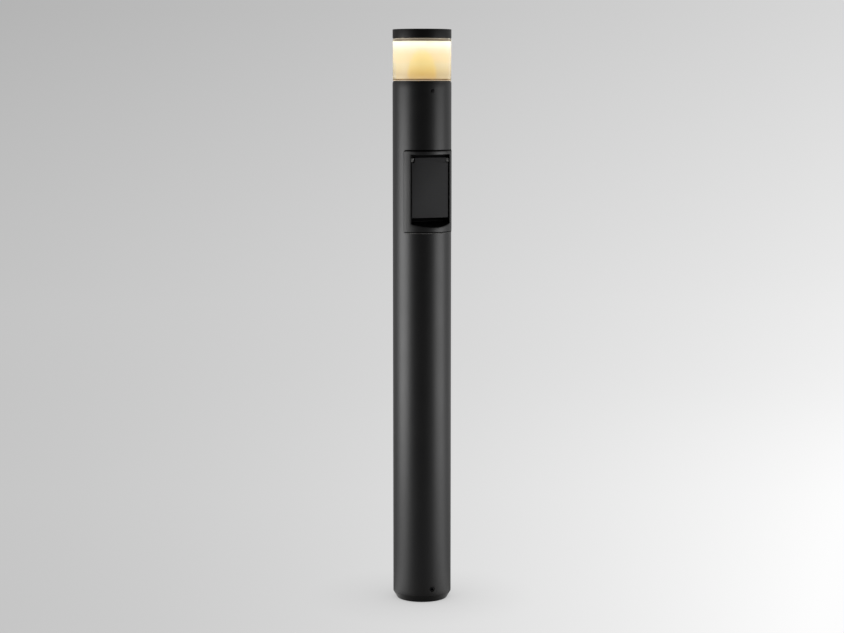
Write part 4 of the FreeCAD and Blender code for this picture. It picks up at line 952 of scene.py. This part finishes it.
    def set_screw(self, angle: float, height: float, radius: float, length: float, flats: float) -> Skin:
        """A set screw in the wall, with a hexagon socket in its outer end.

        Args:
            angle: degrees from the socket's side.
            height: its axis.
            radius: its radius.
            length: its length inwards.
            flats: the hexagon's width across flats.

        Returns:
            The skin: loops of 48 points from the inner end to the rim, the hexagon's edge and its
            floor. A hexagon's radius at angle a is (flats / 2) / cos(((a + 30) mod 60) - 30).
        """
        a = np.arange(48) * 7.5
        turn, circle = np.radians(a), np.ones(48)
        hexagon = flats / 2 / np.cos(np.radians((a + 30) % 60 - 30))
        end = self.radius - 0.7
        steps = [(radius * 0.7 * circle, end - length), (radius * circle, end - length + 0.8),
                 (radius * circle, end - 0.5), ((radius - 0.15) * circle, end - 0.15),
                 ((radius - 0.5) * circle, end), (hexagon + 0.12, end), (hexagon, end - 0.15),
                 (hexagon, end - length * 0.45)]
        return loft([place * heading(angle) + (r * np.cos(turn))[:, None] * heading(angle + 90)
                     + (r * np.sin(turn) + height)[:, None] * UP for r, place in steps])

    def build(self, bench: Bench) -> None:
        """Build and dress the pole's pieces.

        Args:
            bench: what makes pieces of skins and nodes.
        """
        bench.piece("tube", self.tube(), "powder_coat", "pole_tube")
        bench.copy("foot", "foot_casting", "powder_coat", 0.8)
        sizes = (("foot_set_screws", 4.0, 9.4, 4.0), ("head_set_screws", 2.5, 9.0, 2.5))
        for (node, *size), height in zip(sizes, self.grub_heights):
            screws = [self.set_screw(angle, height, *size) for angle in self.grub_angles]
            bench.piece(f"{node}_turned", reduce(Skin.__add__, screws), "black_steel", node)


@dataclass
class Head:
    """Collar, seals, diffuser, reflector and cap.

    Args:
        collar_top: height of the collar's flange.
        diffuser: heights of the diffuser's ends.
        walls: radii of its inner and outer face.
        cap: heights of the cap's foot and top.
        cap_radius: its radius.
        dome_seat: height of the reflector's flange.
        dome: radius and height of its dome.
        dome_wall: how thick it is.
        dome_hole: radius of the hole in its top.
    """

    collar_top: float = 911.3
    diffuser: tuple[float, float] = (912.0, 984.3)
    walls: tuple[float, float] = (46.5, 50.5)
    cap: tuple[float, float] = (985.0, 1000.0)
    cap_radius: float = 50.8
    dome_seat: float = 914.5
    dome: tuple[float, float] = (25.5, 50.0)
    dome_wall: float = 1.2
    dome_hole: float = 5.3

    def collar(self) -> Skin:
        """The turned collar.

        Returns:
            The skin of its spigot, flange, boss and floor.
        """
        return turned(rounded([
            (5.3, 899, 0), (40, 899, 0), (40, 870, 0.5), (47.6, 870, 0.8), (47.6, 909.5, 0), (50, 909.5, 0.2),
            (50, self.collar_top, 0.4), (46.2, self.collar_top, 0), (46.2, 914.5, 0.4), (40, 914.5, 0.4),
            (40, 903, 0.5), (5.3, 903, 0)]))

    def reflector(self) -> Skin:
        """The spun reflector.

        Returns:
            The skin of a flange and of half an ellipse, of which height = h sin a and radius = r cos a.
        """
        seat, base = self.dome_seat, self.dome_seat + 1.5
        a = np.radians(np.linspace(2, 90, 40))
        faces = []
        for wall in (0.0, self.dome_wall):
            radius, height = np.array(self.dome) - wall
            face = np.column_stack([radius * np.cos(a), base + height * np.sin(a)])
            face = face[face[:, 0] > self.dome_hole]
            faces.append(np.vstack([face, [self.dome_hole, face[-1, 1] + 0.25]]))
        flange = np.array([(24.3, seat), (46.0, seat), (46.0, base), (27.2, base), (26.1, base + 0.4)])
        return turned(np.vstack([flange, faces[0], faces[1][::-1]]))

    def build(self, bench: Bench) -> None:
        """Build and dress the head's pieces.

        Args:
            bench: what makes pieces of skins and nodes.
        """
        (inner, outer), (low, high), (foot, top) = self.walls, self.diffuser, self.cap
        bench.piece("collar", self.collar(), "powder_coat", "head_collar")
        bench.piece("reflector", self.reflector(), "reflector", "dome_reflector")
        tube = block((inner, low), (outer, high), (0.3, 0.5, 0.5, 0.3))
        bench.piece("opal_ring", turned(tube), "opal", "diffuser")
        for node, start, end in (("lower_seal", self.collar_top, low), ("cap_seal", high, foot)):
            ring = block((inner, start), (outer - 0.7, end), (0.1, 0.3, 0.3, 0.1), 4)
            bench.piece(f"{node}_ring", turned(ring), "seal_rubber", node)
        r = self.cap_radius
        cap = rounded([(0, top - 6, 0), (r - 5.8, top - 6, 1.0), (r - 5.8, foot, 0.4), (r, foot, 0.4),
                       (r, top, 0.8), (0, top, 0)], 6, closed=False)
        bench.piece("cap", turned(cap, closed=False), "cap_coat", "top_cap")


@dataclass
class SocketFront:
    """Bezel, lid, hinge and what shows when the lid is open.

    Args:
        lip: radius of the bezel's front.
        under_lip: radius of its back, on the tube.
        window: heights of the tube's window.
        cover: how far the bezel reaches over the tube above and below it.
        half: half the bezel's width.
        opening: half width and top of the bezel's opening.
        chamber: half width and top of the chamber behind the lid.
        plug: half width, top and foot of the bezel's part inside the window.
        ledge: depths of the front and the back of the ledge around the chamber.
        sill_height: rise of the drain floor above the window's foot, at the lip.
        slope: its rise for each millimetre inwards.
        lid_half: half the lid's width.
        lid_ends: heights of the lid's edges.
        notch: half width and foot of what is left between its notched corners.
        lid_depths: depths of its back and front.
        hinge: depth and height of the hinge's axis.
        seam: radius of the rounding around the lip.
    """

    lip: float = 52.0
    under_lip: float = 51.05
    window: tuple[float, float] = (654.0, 791.0)
    cover: float = 3.5
    half: float = 45.0
    opening: tuple[float, float] = (36.2, 786.5)
    chamber: tuple[float, float] = (32.5, 782.0)
    plug: tuple[float, float, float] = (42.2, 790.7, 654.3)
    ledge: tuple[float, float] = (30.0, 27.5)
    sill_height: float = 7.0
    slope: float = 0.39
    lid_half: float = 34.2
    lid_ends: tuple[float, float] = (677.0, 781.0)
    notch: tuple[float, float] = (29.4, 772.5)
    lid_depths: tuple[float, float] = (32.0, 35.0)
    hinge: tuple[float, float] = (32.7, 777.0)
    seam: float = 1.7

    def sill(self, depth: np.ndarray) -> np.ndarray:
        """Height of the sloped drain floor: window foot + rise + slope (lip radius - depth)."""
        return self.window[0] + self.sill_height + self.slope * (self.lip - depth)

    def loop(self, half: float, top: float, corner: float, depth: Depth, bottom: Edge) -> Points:
        """A closed loop around the opening, seen from the front.

        Args:
            half: half its width.
            top: its upper edge.
            corner: radius of its corners.
            depth: depth by x.
            bottom: height of the lower edge by x and depth.

        Returns:
            200 points, counter-clockwise from the middle of the lower edge: x runs along the edges,
            and the corners are quarter circles.
        """
        flat, bend, side = 30, 8, 32
        across, up, quarter = (np.linspace(0, end, count, endpoint=False)
                               for end, count in ((1, flat), (1, side), (math.pi / 2, bend)))
        inner = half - corner
        right = np.concatenate([inner * across, inner + corner * np.sin(quarter), np.full(side, half),
                                inner + corner * np.cos(quarter), inner * (1 - across)])
        floor = bottom(np.concatenate([right, -right]), depth(np.concatenate([right, -right])))
        start = floor[flat + bend] + corner
        low = floor[:flat + bend] + np.concatenate([0 * across, corner * (1 - np.cos(quarter))])
        height = np.concatenate([low, start + (top - corner - start) * up,
                                 top - corner * (1 - np.sin(quarter)), np.full(flat, top)])
        points = np.column_stack([right, -depth(right), height])
        peak = np.array([[0, -float(depth(np.array([0.0]))[0]), top]])
        return np.vstack([points, peak, points[1:][::-1] * np.array([-1, 1, 1])])

    def bezel(self) -> Skin:
        """The bezel.

        Returns:
            The skin, one closed loft over seam, rounded lip, opening, ledge, chamber, back and plug. At
            turn a of the seam a loop goes in by seam (1 - sin a).
        """
        foot, top, half = self.window[0] - self.cover, self.window[1] + self.cover, self.half

        def on(radius: float) -> Depth:
            """Depth on a cylinder: sqrt(radius^2 - x^2)."""
            return lambda x: np.sqrt(radius ** 2 - x ** 2)

        def flat(depth: float) -> Depth:
            """The same depth everywhere."""
            return lambda x: np.full(np.shape(x), depth)

        def level(height: float) -> Edge:
            """A level lower edge."""
            return lambda x, y: np.full(np.shape(x), height)

        def sloped(drop: float) -> Edge:
            """A lower edge on the drain floor, or a little below it."""
            return lambda x, y: self.sill(y) - drop

        turn = np.radians(np.linspace(0, 90, 7))
        insets = self.seam * (1 - np.sin(turn))
        radii = self.lip - (self.lip - self.under_lip) * (1 - np.sin(turn[::-1]))
        steps = [(half - inset, top - inset, 4.0 - inset, on(radius), level(foot + inset))
                 for inset, radius in sorted(zip(insets, radii))]
        low, (wide, high), chamber = foot + self.seam, self.opening, self.chamber
        for share in (0.3, 0.65):
            w = half - self.seam + (wide + 0.5 - half + self.seam) * share
            t = top - self.seam + (high + 0.5 - top + self.seam) * share
            steps.append((w, t, 2.4 - 1.2 * share, on(self.lip),
                          lambda x, y, k=share: low + (self.sill(y) - 1.2 - low) * k))
        ledge, back = (flat(depth) for depth in self.ledge)
        plug, plug_foot = self.plug[:2], level(self.plug[2])
        # The first three loops round the opening's edge.
        steps += [
            (wide + 0.5, high + 0.5, 1.3, on(self.lip), sloped(1.2)),
            (wide + 0.15, high + 0.15, 1.1, on(self.lip - 0.14), sloped(0.5)),
            (wide, high, 1.0, on(self.lip - 0.5), sloped(0.0)), (wide, high, 1.0, ledge, sloped(0.0)),
            (*chamber, 0.8, ledge, sloped(0.0)), (*chamber, 0.8, back, sloped(0.0)),
            (*plug, 3.7, back, plug_foot), (*plug, 3.7, on(self.under_lip), plug_foot)]
        return loft([self.loop(*step) for step in steps], closed=True)

    def ears(self) -> Skin:
        """The four lugs that the bezel's screws hold.

        Returns:
            The skin of four plates with a countersunk hole. A plate's edge is the unit circle over the
            greater of |cos a| and |sin a|, times its half width and half height.
        """
        turn = np.radians(np.arange(48) * 7.5)
        circle = np.column_stack([np.cos(turn), np.sin(turn)])
        box = circle / np.max(np.abs(circle), axis=1, keepdims=True)
        front, back = self.ledge
        loops = ((box * [4.0, 5.0], back), (box * [4.0, 5.0], front - 0.3), (box * [3.7, 4.7], front),
                 (circle * 3.1, front), (circle * 1.55, front - 1.55), (circle * 1.55, back))
        return reduce(Skin.__add__, [
            loft([np.column_stack([x + loop[:, 0], np.full(48, -depth), z + loop[:, 1]])
                  for loop, depth in loops], closed=True)
            for x in (-29.0, 29.0) for z in (760.0, 695.0)])

    def lid(self) -> Skin:
        """The lid.

        Returns:
            The skin of its notched plate, two hinge barrels, and the finger lip behind its lower edge.
        """
        w, (low, high), (x, z) = self.lid_half, self.lid_ends, self.notch
        skin = slab(rounded([(-w, low, 1.0), (w, low, 1.0), (w, z, 0.7), (x, z, 0.7), (x, high, 0.7),
                             (-x, high, 0.7), (-x, z, 0.7), (-w, z, 0.7)], 5), *self.lid_depths, 0.7)
        depth, height = self.hinge
        for side in (-1, 1):
            a, b = sorted((6.0 * side, 29.35 * side))
            barrel = block((1.05, a), (2.28, b), (0, 0.25, 0.25, 0), 3)
            skin += turned(barrel, Axis.X, (0, -depth, height), 48)
        return skin + slab(block((-12, 680), (12, 684), (0.8,) * 4, 4), 30.8, 32.1, 0.4)

    def brackets(self) -> Skin:
        """The two hinge blocks.

        Returns:
            The skin of both, each with a peg into the ledge.
        """
        blocks = []
        for side in (-1, 1):
            a, b = sorted((30.3 * side, 35.7 * side))
            peg = block((0, -30.2), (1.2, -27.6), (0, 0, 0.3, 0), 3, closed=False)
            blocks.append(slab(block((a, 773.5), (b, 780.1), (0.8,) * 4, 4), 30.0, 35.0, 0.5)
                          + turned(peg, Axis.Y, (33.0 * side, 0, 777.0), 32, closed=False))
        return blocks[0] + blocks[1]

    def pin(self) -> Skin:
        """The hinge pin.

        Returns:
            The skin of a pin with slightly domed ends.
        """
        depth, height = self.hinge
        outline = block((0, -35.7), (1.0, 35.7), (0, 0.3, 0.3, 0), 3, closed=False)
        return turned(outline, Axis.X, (0, -depth, height), 32, closed=False)

    def spring(self) -> Skin:
        """The lid's coil spring.

        Returns:
            The skin of a circle of wire carried along a helix x = pitch t, (cos t, sin t) r.
        """
        depth, height = self.hinge
        wire, middle, turns, half = 0.2, 1.33, 14, 4.75
        t = np.linspace(0, 2 * math.pi * turns, turns * 24 + 1)[:, None]
        a = np.linspace(0, 2 * math.pi, 9)[None, :]
        reach = middle + wire * np.cos(a)
        points = np.stack([2 * half * t / t[-1] - half + wire * np.sin(a), -depth + reach * np.cos(t),
                           height + reach * np.sin(t)], axis=-1)
        skin = sheet(points)
        for row in (0, -1):
            skin += Skin(points[row, :-1], [list(range(8))])
        return skin

    def build(self, bench: Bench) -> None:
        """Build and dress the socket's front pieces.

        Args:
            bench: what makes pieces of skins and nodes.
        """
        bench.piece("bezel", self.bezel() + self.ears(), "bezel_plastic", "socket_bezel")
        bench.piece("flap", self.lid(), "lid_plastic", "lid", Body.LID)
        bench.piece("hinge_blocks", self.brackets(), "bracket", "hinge_brackets")
        bench.piece("hinge_rod", self.pin(), "stainless", "hinge_pin")
        bench.piece("coil_spring", self.spring(), "stainless", "lid_spring")
        for node, *rest in (
                ("insert_housing", "insert_plastic", 0.3), ("socket_box", "box_plastic"),
                ("shutter", "insert_plastic", 0.2, Body.SHUTTER), ("insert_screws", "stainless"),
                ("bezel_screws", "stainless"), ("contact_carrier", "insert_plastic"),
                ("lid_seal", "seal_rubber", 0.0, Body.LID), ("earth_bow", "zinc_steel")):
            bench.copy(f"{node}_soft", node, *rest)


# ---------------------------------------------------------------- studio
@dataclass(frozen=True)
class Paper:
    """Pale grey studio paper, lighter towards the right and the front.

    A Range maps metres or a share to a tone or a share, and is held at its ends. Depth is metres
    behind the pole and width metres to its right, both as the camera sees them.

    Args:
        back: tone by depth.
        lift: what the height adds to it.
        depth: limits of the depth that fades slope and bow.
        width: the width beyond which more counts less: it counts as width tanh(x / width).
        slope: tone that each metre of width adds, and the base of its fading with depth.
        bow: the same for the width's square.
        tones: limits of the tone.
        front: highest tone by depth, which darkens the floor before the pole.
        beyond: highest tone by width, right of the photograph's frame.
        drift: how much farther right that starts for each metre of depth.
        blend: how softly the two come in.
        mirror: share of the light that gloss finds there, by depth.
        flank: more of it from beside the pole, by depth as a share of the distance.
        flank_height: its share by height.
        flank_sides: its share from left to right.
        foot: share of what gloss finds, by the distance from the axis.
        most: the most that gloss can find.
        contact: share of the tone where the object stands close, and away from it; the drop near it is a
            painted contact shadow.
        contact_reach: metres within which it counts as close.
        dull: sRGB of the paper that takes the object's shadow.
    """

    back: Range = (0.85, 3.35, 0.717, 0.668)
    lift: Range = (0.157, 1.2, 0.0, -0.113)
    depth: Range = (-0.2, 4.6, -0.2, 4.6)
    width: float = 3.0
    slope: tuple[float, float] = (0.30, 0.72)
    bow: tuple[float, float] = (0.118, 0.5)
    tones: Range = (0.40, 0.985, 0.40, 0.985)
    front: Range = (-0.9, -0.2, 0.76, 1.0)
    beyond: Range = (0.85, 1.9, 1.0, 0.78)
    drift: float = 0.22
    blend: float = 0.05
    mirror: Range = (-2.5, 2.0, 0.10, 0.72)
    flank: Range = (-0.1, 0.5, 1.6, 0.0)
    flank_height: Range = (0.0, 0.5, 1.0, 0.0)
    flank_sides: Range = (-1.0, 1.0, 1.5, 1.05)
    foot: Range = (0.05, 0.14, 0.45, 1.0)
    most: float = 2.5
    contact: Range = (0.0, 1.0, 0.6, 1.0)
    contact_reach: float = 0.16
    dull: str = "303030"

    def make(self, backwards: np.ndarray, right: np.ndarray) -> bpy.types.Material:
        """The paper's material.

        Args:
            backwards: level unit vector away from the camera.
            right: level unit vector to the camera's right.

        Returns:
            A dull paper that takes the object's shadow, plus its own even tone for what looks at it
            or mirrors it. With width w and depth d, the tone is
            back + lift + slope w 0.72^d + bow w^2 0.5^d, held within its limits. Gloss finds
            (mirror + flank (x / distance)^4) foot of it.
        """
        tree = Tree("studio paper")
        add, join = tree.add, tree.join
        along, across = (add("VectorMath", (tree.place, tuple(aim)), operation="DOT_PRODUCT").outputs["Value"]
                         for aim in (backwards, right))
        side, ahead = join("DIVIDE", across, tree.reach), join("DIVIDE", along, tree.reach)
        aside = join("ADD", across, join("MULTIPLY", along, -self.drift))

        def mapped(value: Any, *limits: Range) -> list[Any]:
            """A value mapped by some ranges."""
            return [add("MapRange", (value, *limit)) for limit in limits]

        back, depth, front, mirror = mapped(along, self.back, self.depth, self.front, self.mirror)
        lift, flank_height = mapped(tree.height, self.lift, self.flank_height)
        bounded = add("Math", (join("MULTIPLY", across, 1 / self.width),), operation="TANH")
        width = join("MULTIPLY", bounded, self.width)
        tilted = join("MULTIPLY", width, join("POWER", self.slope[1], depth), self.slope[0])
        bowed = join("MULTIPLY", width, width, join("POWER", self.bow[1], depth), self.bow[0])
        tone, = mapped(join("ADD", back, lift, tilted, bowed), self.tones)
        for highest in (front, *mapped(aside, self.beyond)):
            tone = add("Math", (tone, highest, self.blend), operation="SMOOTH_MIN")
        flanks = join("MULTIPLY", side, side, side, side, *mapped(ahead, self.flank), flank_height,
                      *mapped(side, self.flank_sides))
        found = join("MULTIPLY", join("ADD", mirror, flanks), *mapped(tree.reach, self.foot))
        rays = add("LightPath").outputs
        seen = join("ADD", rays["Is Camera Ray"], rays["Is Transmission Ray"],
                    join("MULTIPLY", rays["Is Glossy Ray"], found))
        # Ambient occlusion darkens the paper's own tone where the object stands close: a painted contact
        # shadow, besides the real shadow that the dull paper takes.
        near = add("AmbientOcclusion", {"Distance": self.contact_reach}, samples=8).outputs["AO"]
        strength = join("MULTIPLY", join("MINIMUM", seen, self.most), *mapped(near, self.contact))
        own = add("Emission", {"Color": add("CombineColor", (tone, tone, tone)), "Strength": strength})
        add("OutputMaterial", {"Surface": add("AddShader", (
            own, add("BsdfDiffuse", {"Color": linear(self.dull)})))})
        return tree.material


@dataclass
class Studio:
    """Floor and wall in one sweep, two soft boxes, a top light and the camera.

    Args:
        azimuth: the camera's degrees from the socket's side.
        distance: from the pole's axis to the camera in metres.
        eye: the camera's height.
        tilt: degrees that it looks down.
        lens: its focal length in millimetres.
        floor_radius: metres out to which the floor is flat.
        wall_radius: metres out to the wall.
        bend: height of the curve between them.
        wall_top: height of the wall.
        box_distance: metres from the pole's axis to the soft boxes.
        box_middle: height of their centres.
    """

    azimuth: float = -23.5
    distance: float = 3.4
    eye: float = 0.910
    tilt: float = 6.85
    lens: float = 83.27
    floor_radius: float = 2.4
    wall_radius: float = 4.6
    bend: float = 1.6
    wall_top: float = 4.5
    box_distance: float = 1.25
    box_middle: float = 0.45

    def stand(self, made: bpy.types.Object, angle: float, distance: float, height: float,
              tilt: float = 0.0) -> None:
        """Place a camera or lamp so that it faces the pole.

        Args:
            made: the object.
            angle: degrees from the camera's side.
            distance: metres from the pole's axis.
            height: metres above the floor.
            tilt: degrees that it looks down.
        """
        out = heading(self.azimuth + angle)
        made.location = tuple(out * distance + UP * height)
        made.rotation_euler = (math.radians(90 - tilt), 0, math.atan2(out[1], out[0]) + math.pi / 2)

    def sweep(self) -> bpy.types.Object:
        """The floor that curves up into a round wall.

        Returns:
            The stage object: a disc out to the floor radius, then a quarter ellipse up to the wall.
        """
        a = np.linspace(0, math.pi / 2, 24)
        reach = self.wall_radius - self.floor_radius
        bend = np.column_stack([self.floor_radius + reach * np.sin(a), self.bend * (1 - np.cos(a))])
        outline = np.vstack([[0, 0], [0.5, 0], [1.2, 0], bend, [self.wall_radius, self.wall_top]]) / METRE
        mesh = joined("studio_sweep", turned(outline, columns=96, closed=False), 1e-5, inwards=True)
        mesh.materials.append(Paper().make(-heading(self.azimuth), heading(self.azimuth + 90)))
        made = bpy.data.objects.new("studio_sweep", mesh)
        bpy.context.scene.collection.objects.link(made)
        return made

    def lamp(self, name: str, size: tuple[float, float], power: float) -> bpy.types.Object:
        """A rectangular lamp that the camera doesn't see.

        Args:
            name: the lamp's name.
            size: its width and height in metres.
            power: its watts.

        Returns:
            The lamp, at the origin and facing down.
        """
        light = bpy.data.lights.new(name, "AREA")
        light.shape, (light.size, light.size_y), light.energy = "RECTANGLE", size, power
        made = bpy.data.objects.new(name, light)
        made.visible_camera = False
        bpy.context.scene.collection.objects.link(made)
        return made

    def lights(self, paper: bpy.types.Object) -> None:
        """Two tall soft boxes beside the pole, a weak one above, and an even fill from the world.

        Args:
            paper: the sweep. The soft boxes, flagged off it, would end in hard lines across it.
        """
        flagged = bpy.data.collections.new("flagged off the paper")
        flagged.objects.link(paper)
        flagged.collection_objects[0].light_linking.link_state = "EXCLUDE"
        for name, angle, size, power in (("left soft box", -76, (1.0, 0.85), 12.0),
                                         ("right soft box", 72, (0.9, 0.85), 6.4)):
            box = self.lamp(name, size, power)
            self.stand(box, angle, self.box_distance, self.box_middle)
            box.light_linking.receiver_collection = flagged
        overhead = self.lamp("overhead", (1.6, 1.6), 8.0)
        overhead.location, overhead.visible_glossy = (0.0, 0.0, 2.6), False
        world = bpy.data.worlds.new("room")
        world.use_nodes = True
        fill = world.node_tree.nodes["Background"].inputs
        fill["Color"].default_value, fill["Strength"].default_value = linear("c8c8c8"), 0.08
        bpy.context.scene.world = world

    def camera(self) -> None:
        """The camera at the photograph's viewing angle: level with the head, tilted down a little."""
        data = bpy.data.cameras.new("camera")
        data.lens, data.sensor_width = self.lens, 36.0
        view = bpy.data.objects.new("camera", data)
        self.stand(view, 0.0, self.distance, self.eye, self.tilt)
        bpy.context.scene.collection.objects.link(view)
        bpy.context.scene.camera = view

    def build(self) -> None:
        """Set up the whole studio."""
        self.lights(self.sweep())
        self.camera()
        bpy.context.scene.view_settings.view_transform = "Standard"


def main() -> None:
    """Build the bollard light on its frame and set it in the studio."""
    logging.basicConfig(level=logging.INFO, format="%(name)s: %(message)s")
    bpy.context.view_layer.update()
    finishes = Finishes()
    finishes.dress_frame()
    for assembly in (Pole(), Head(), SocketFront()):
        assembly.build(Bench(finishes))
        log.info("%s done", type(assembly).__name__)
    Studio().build()


if __name__ == "__main__":
    main()
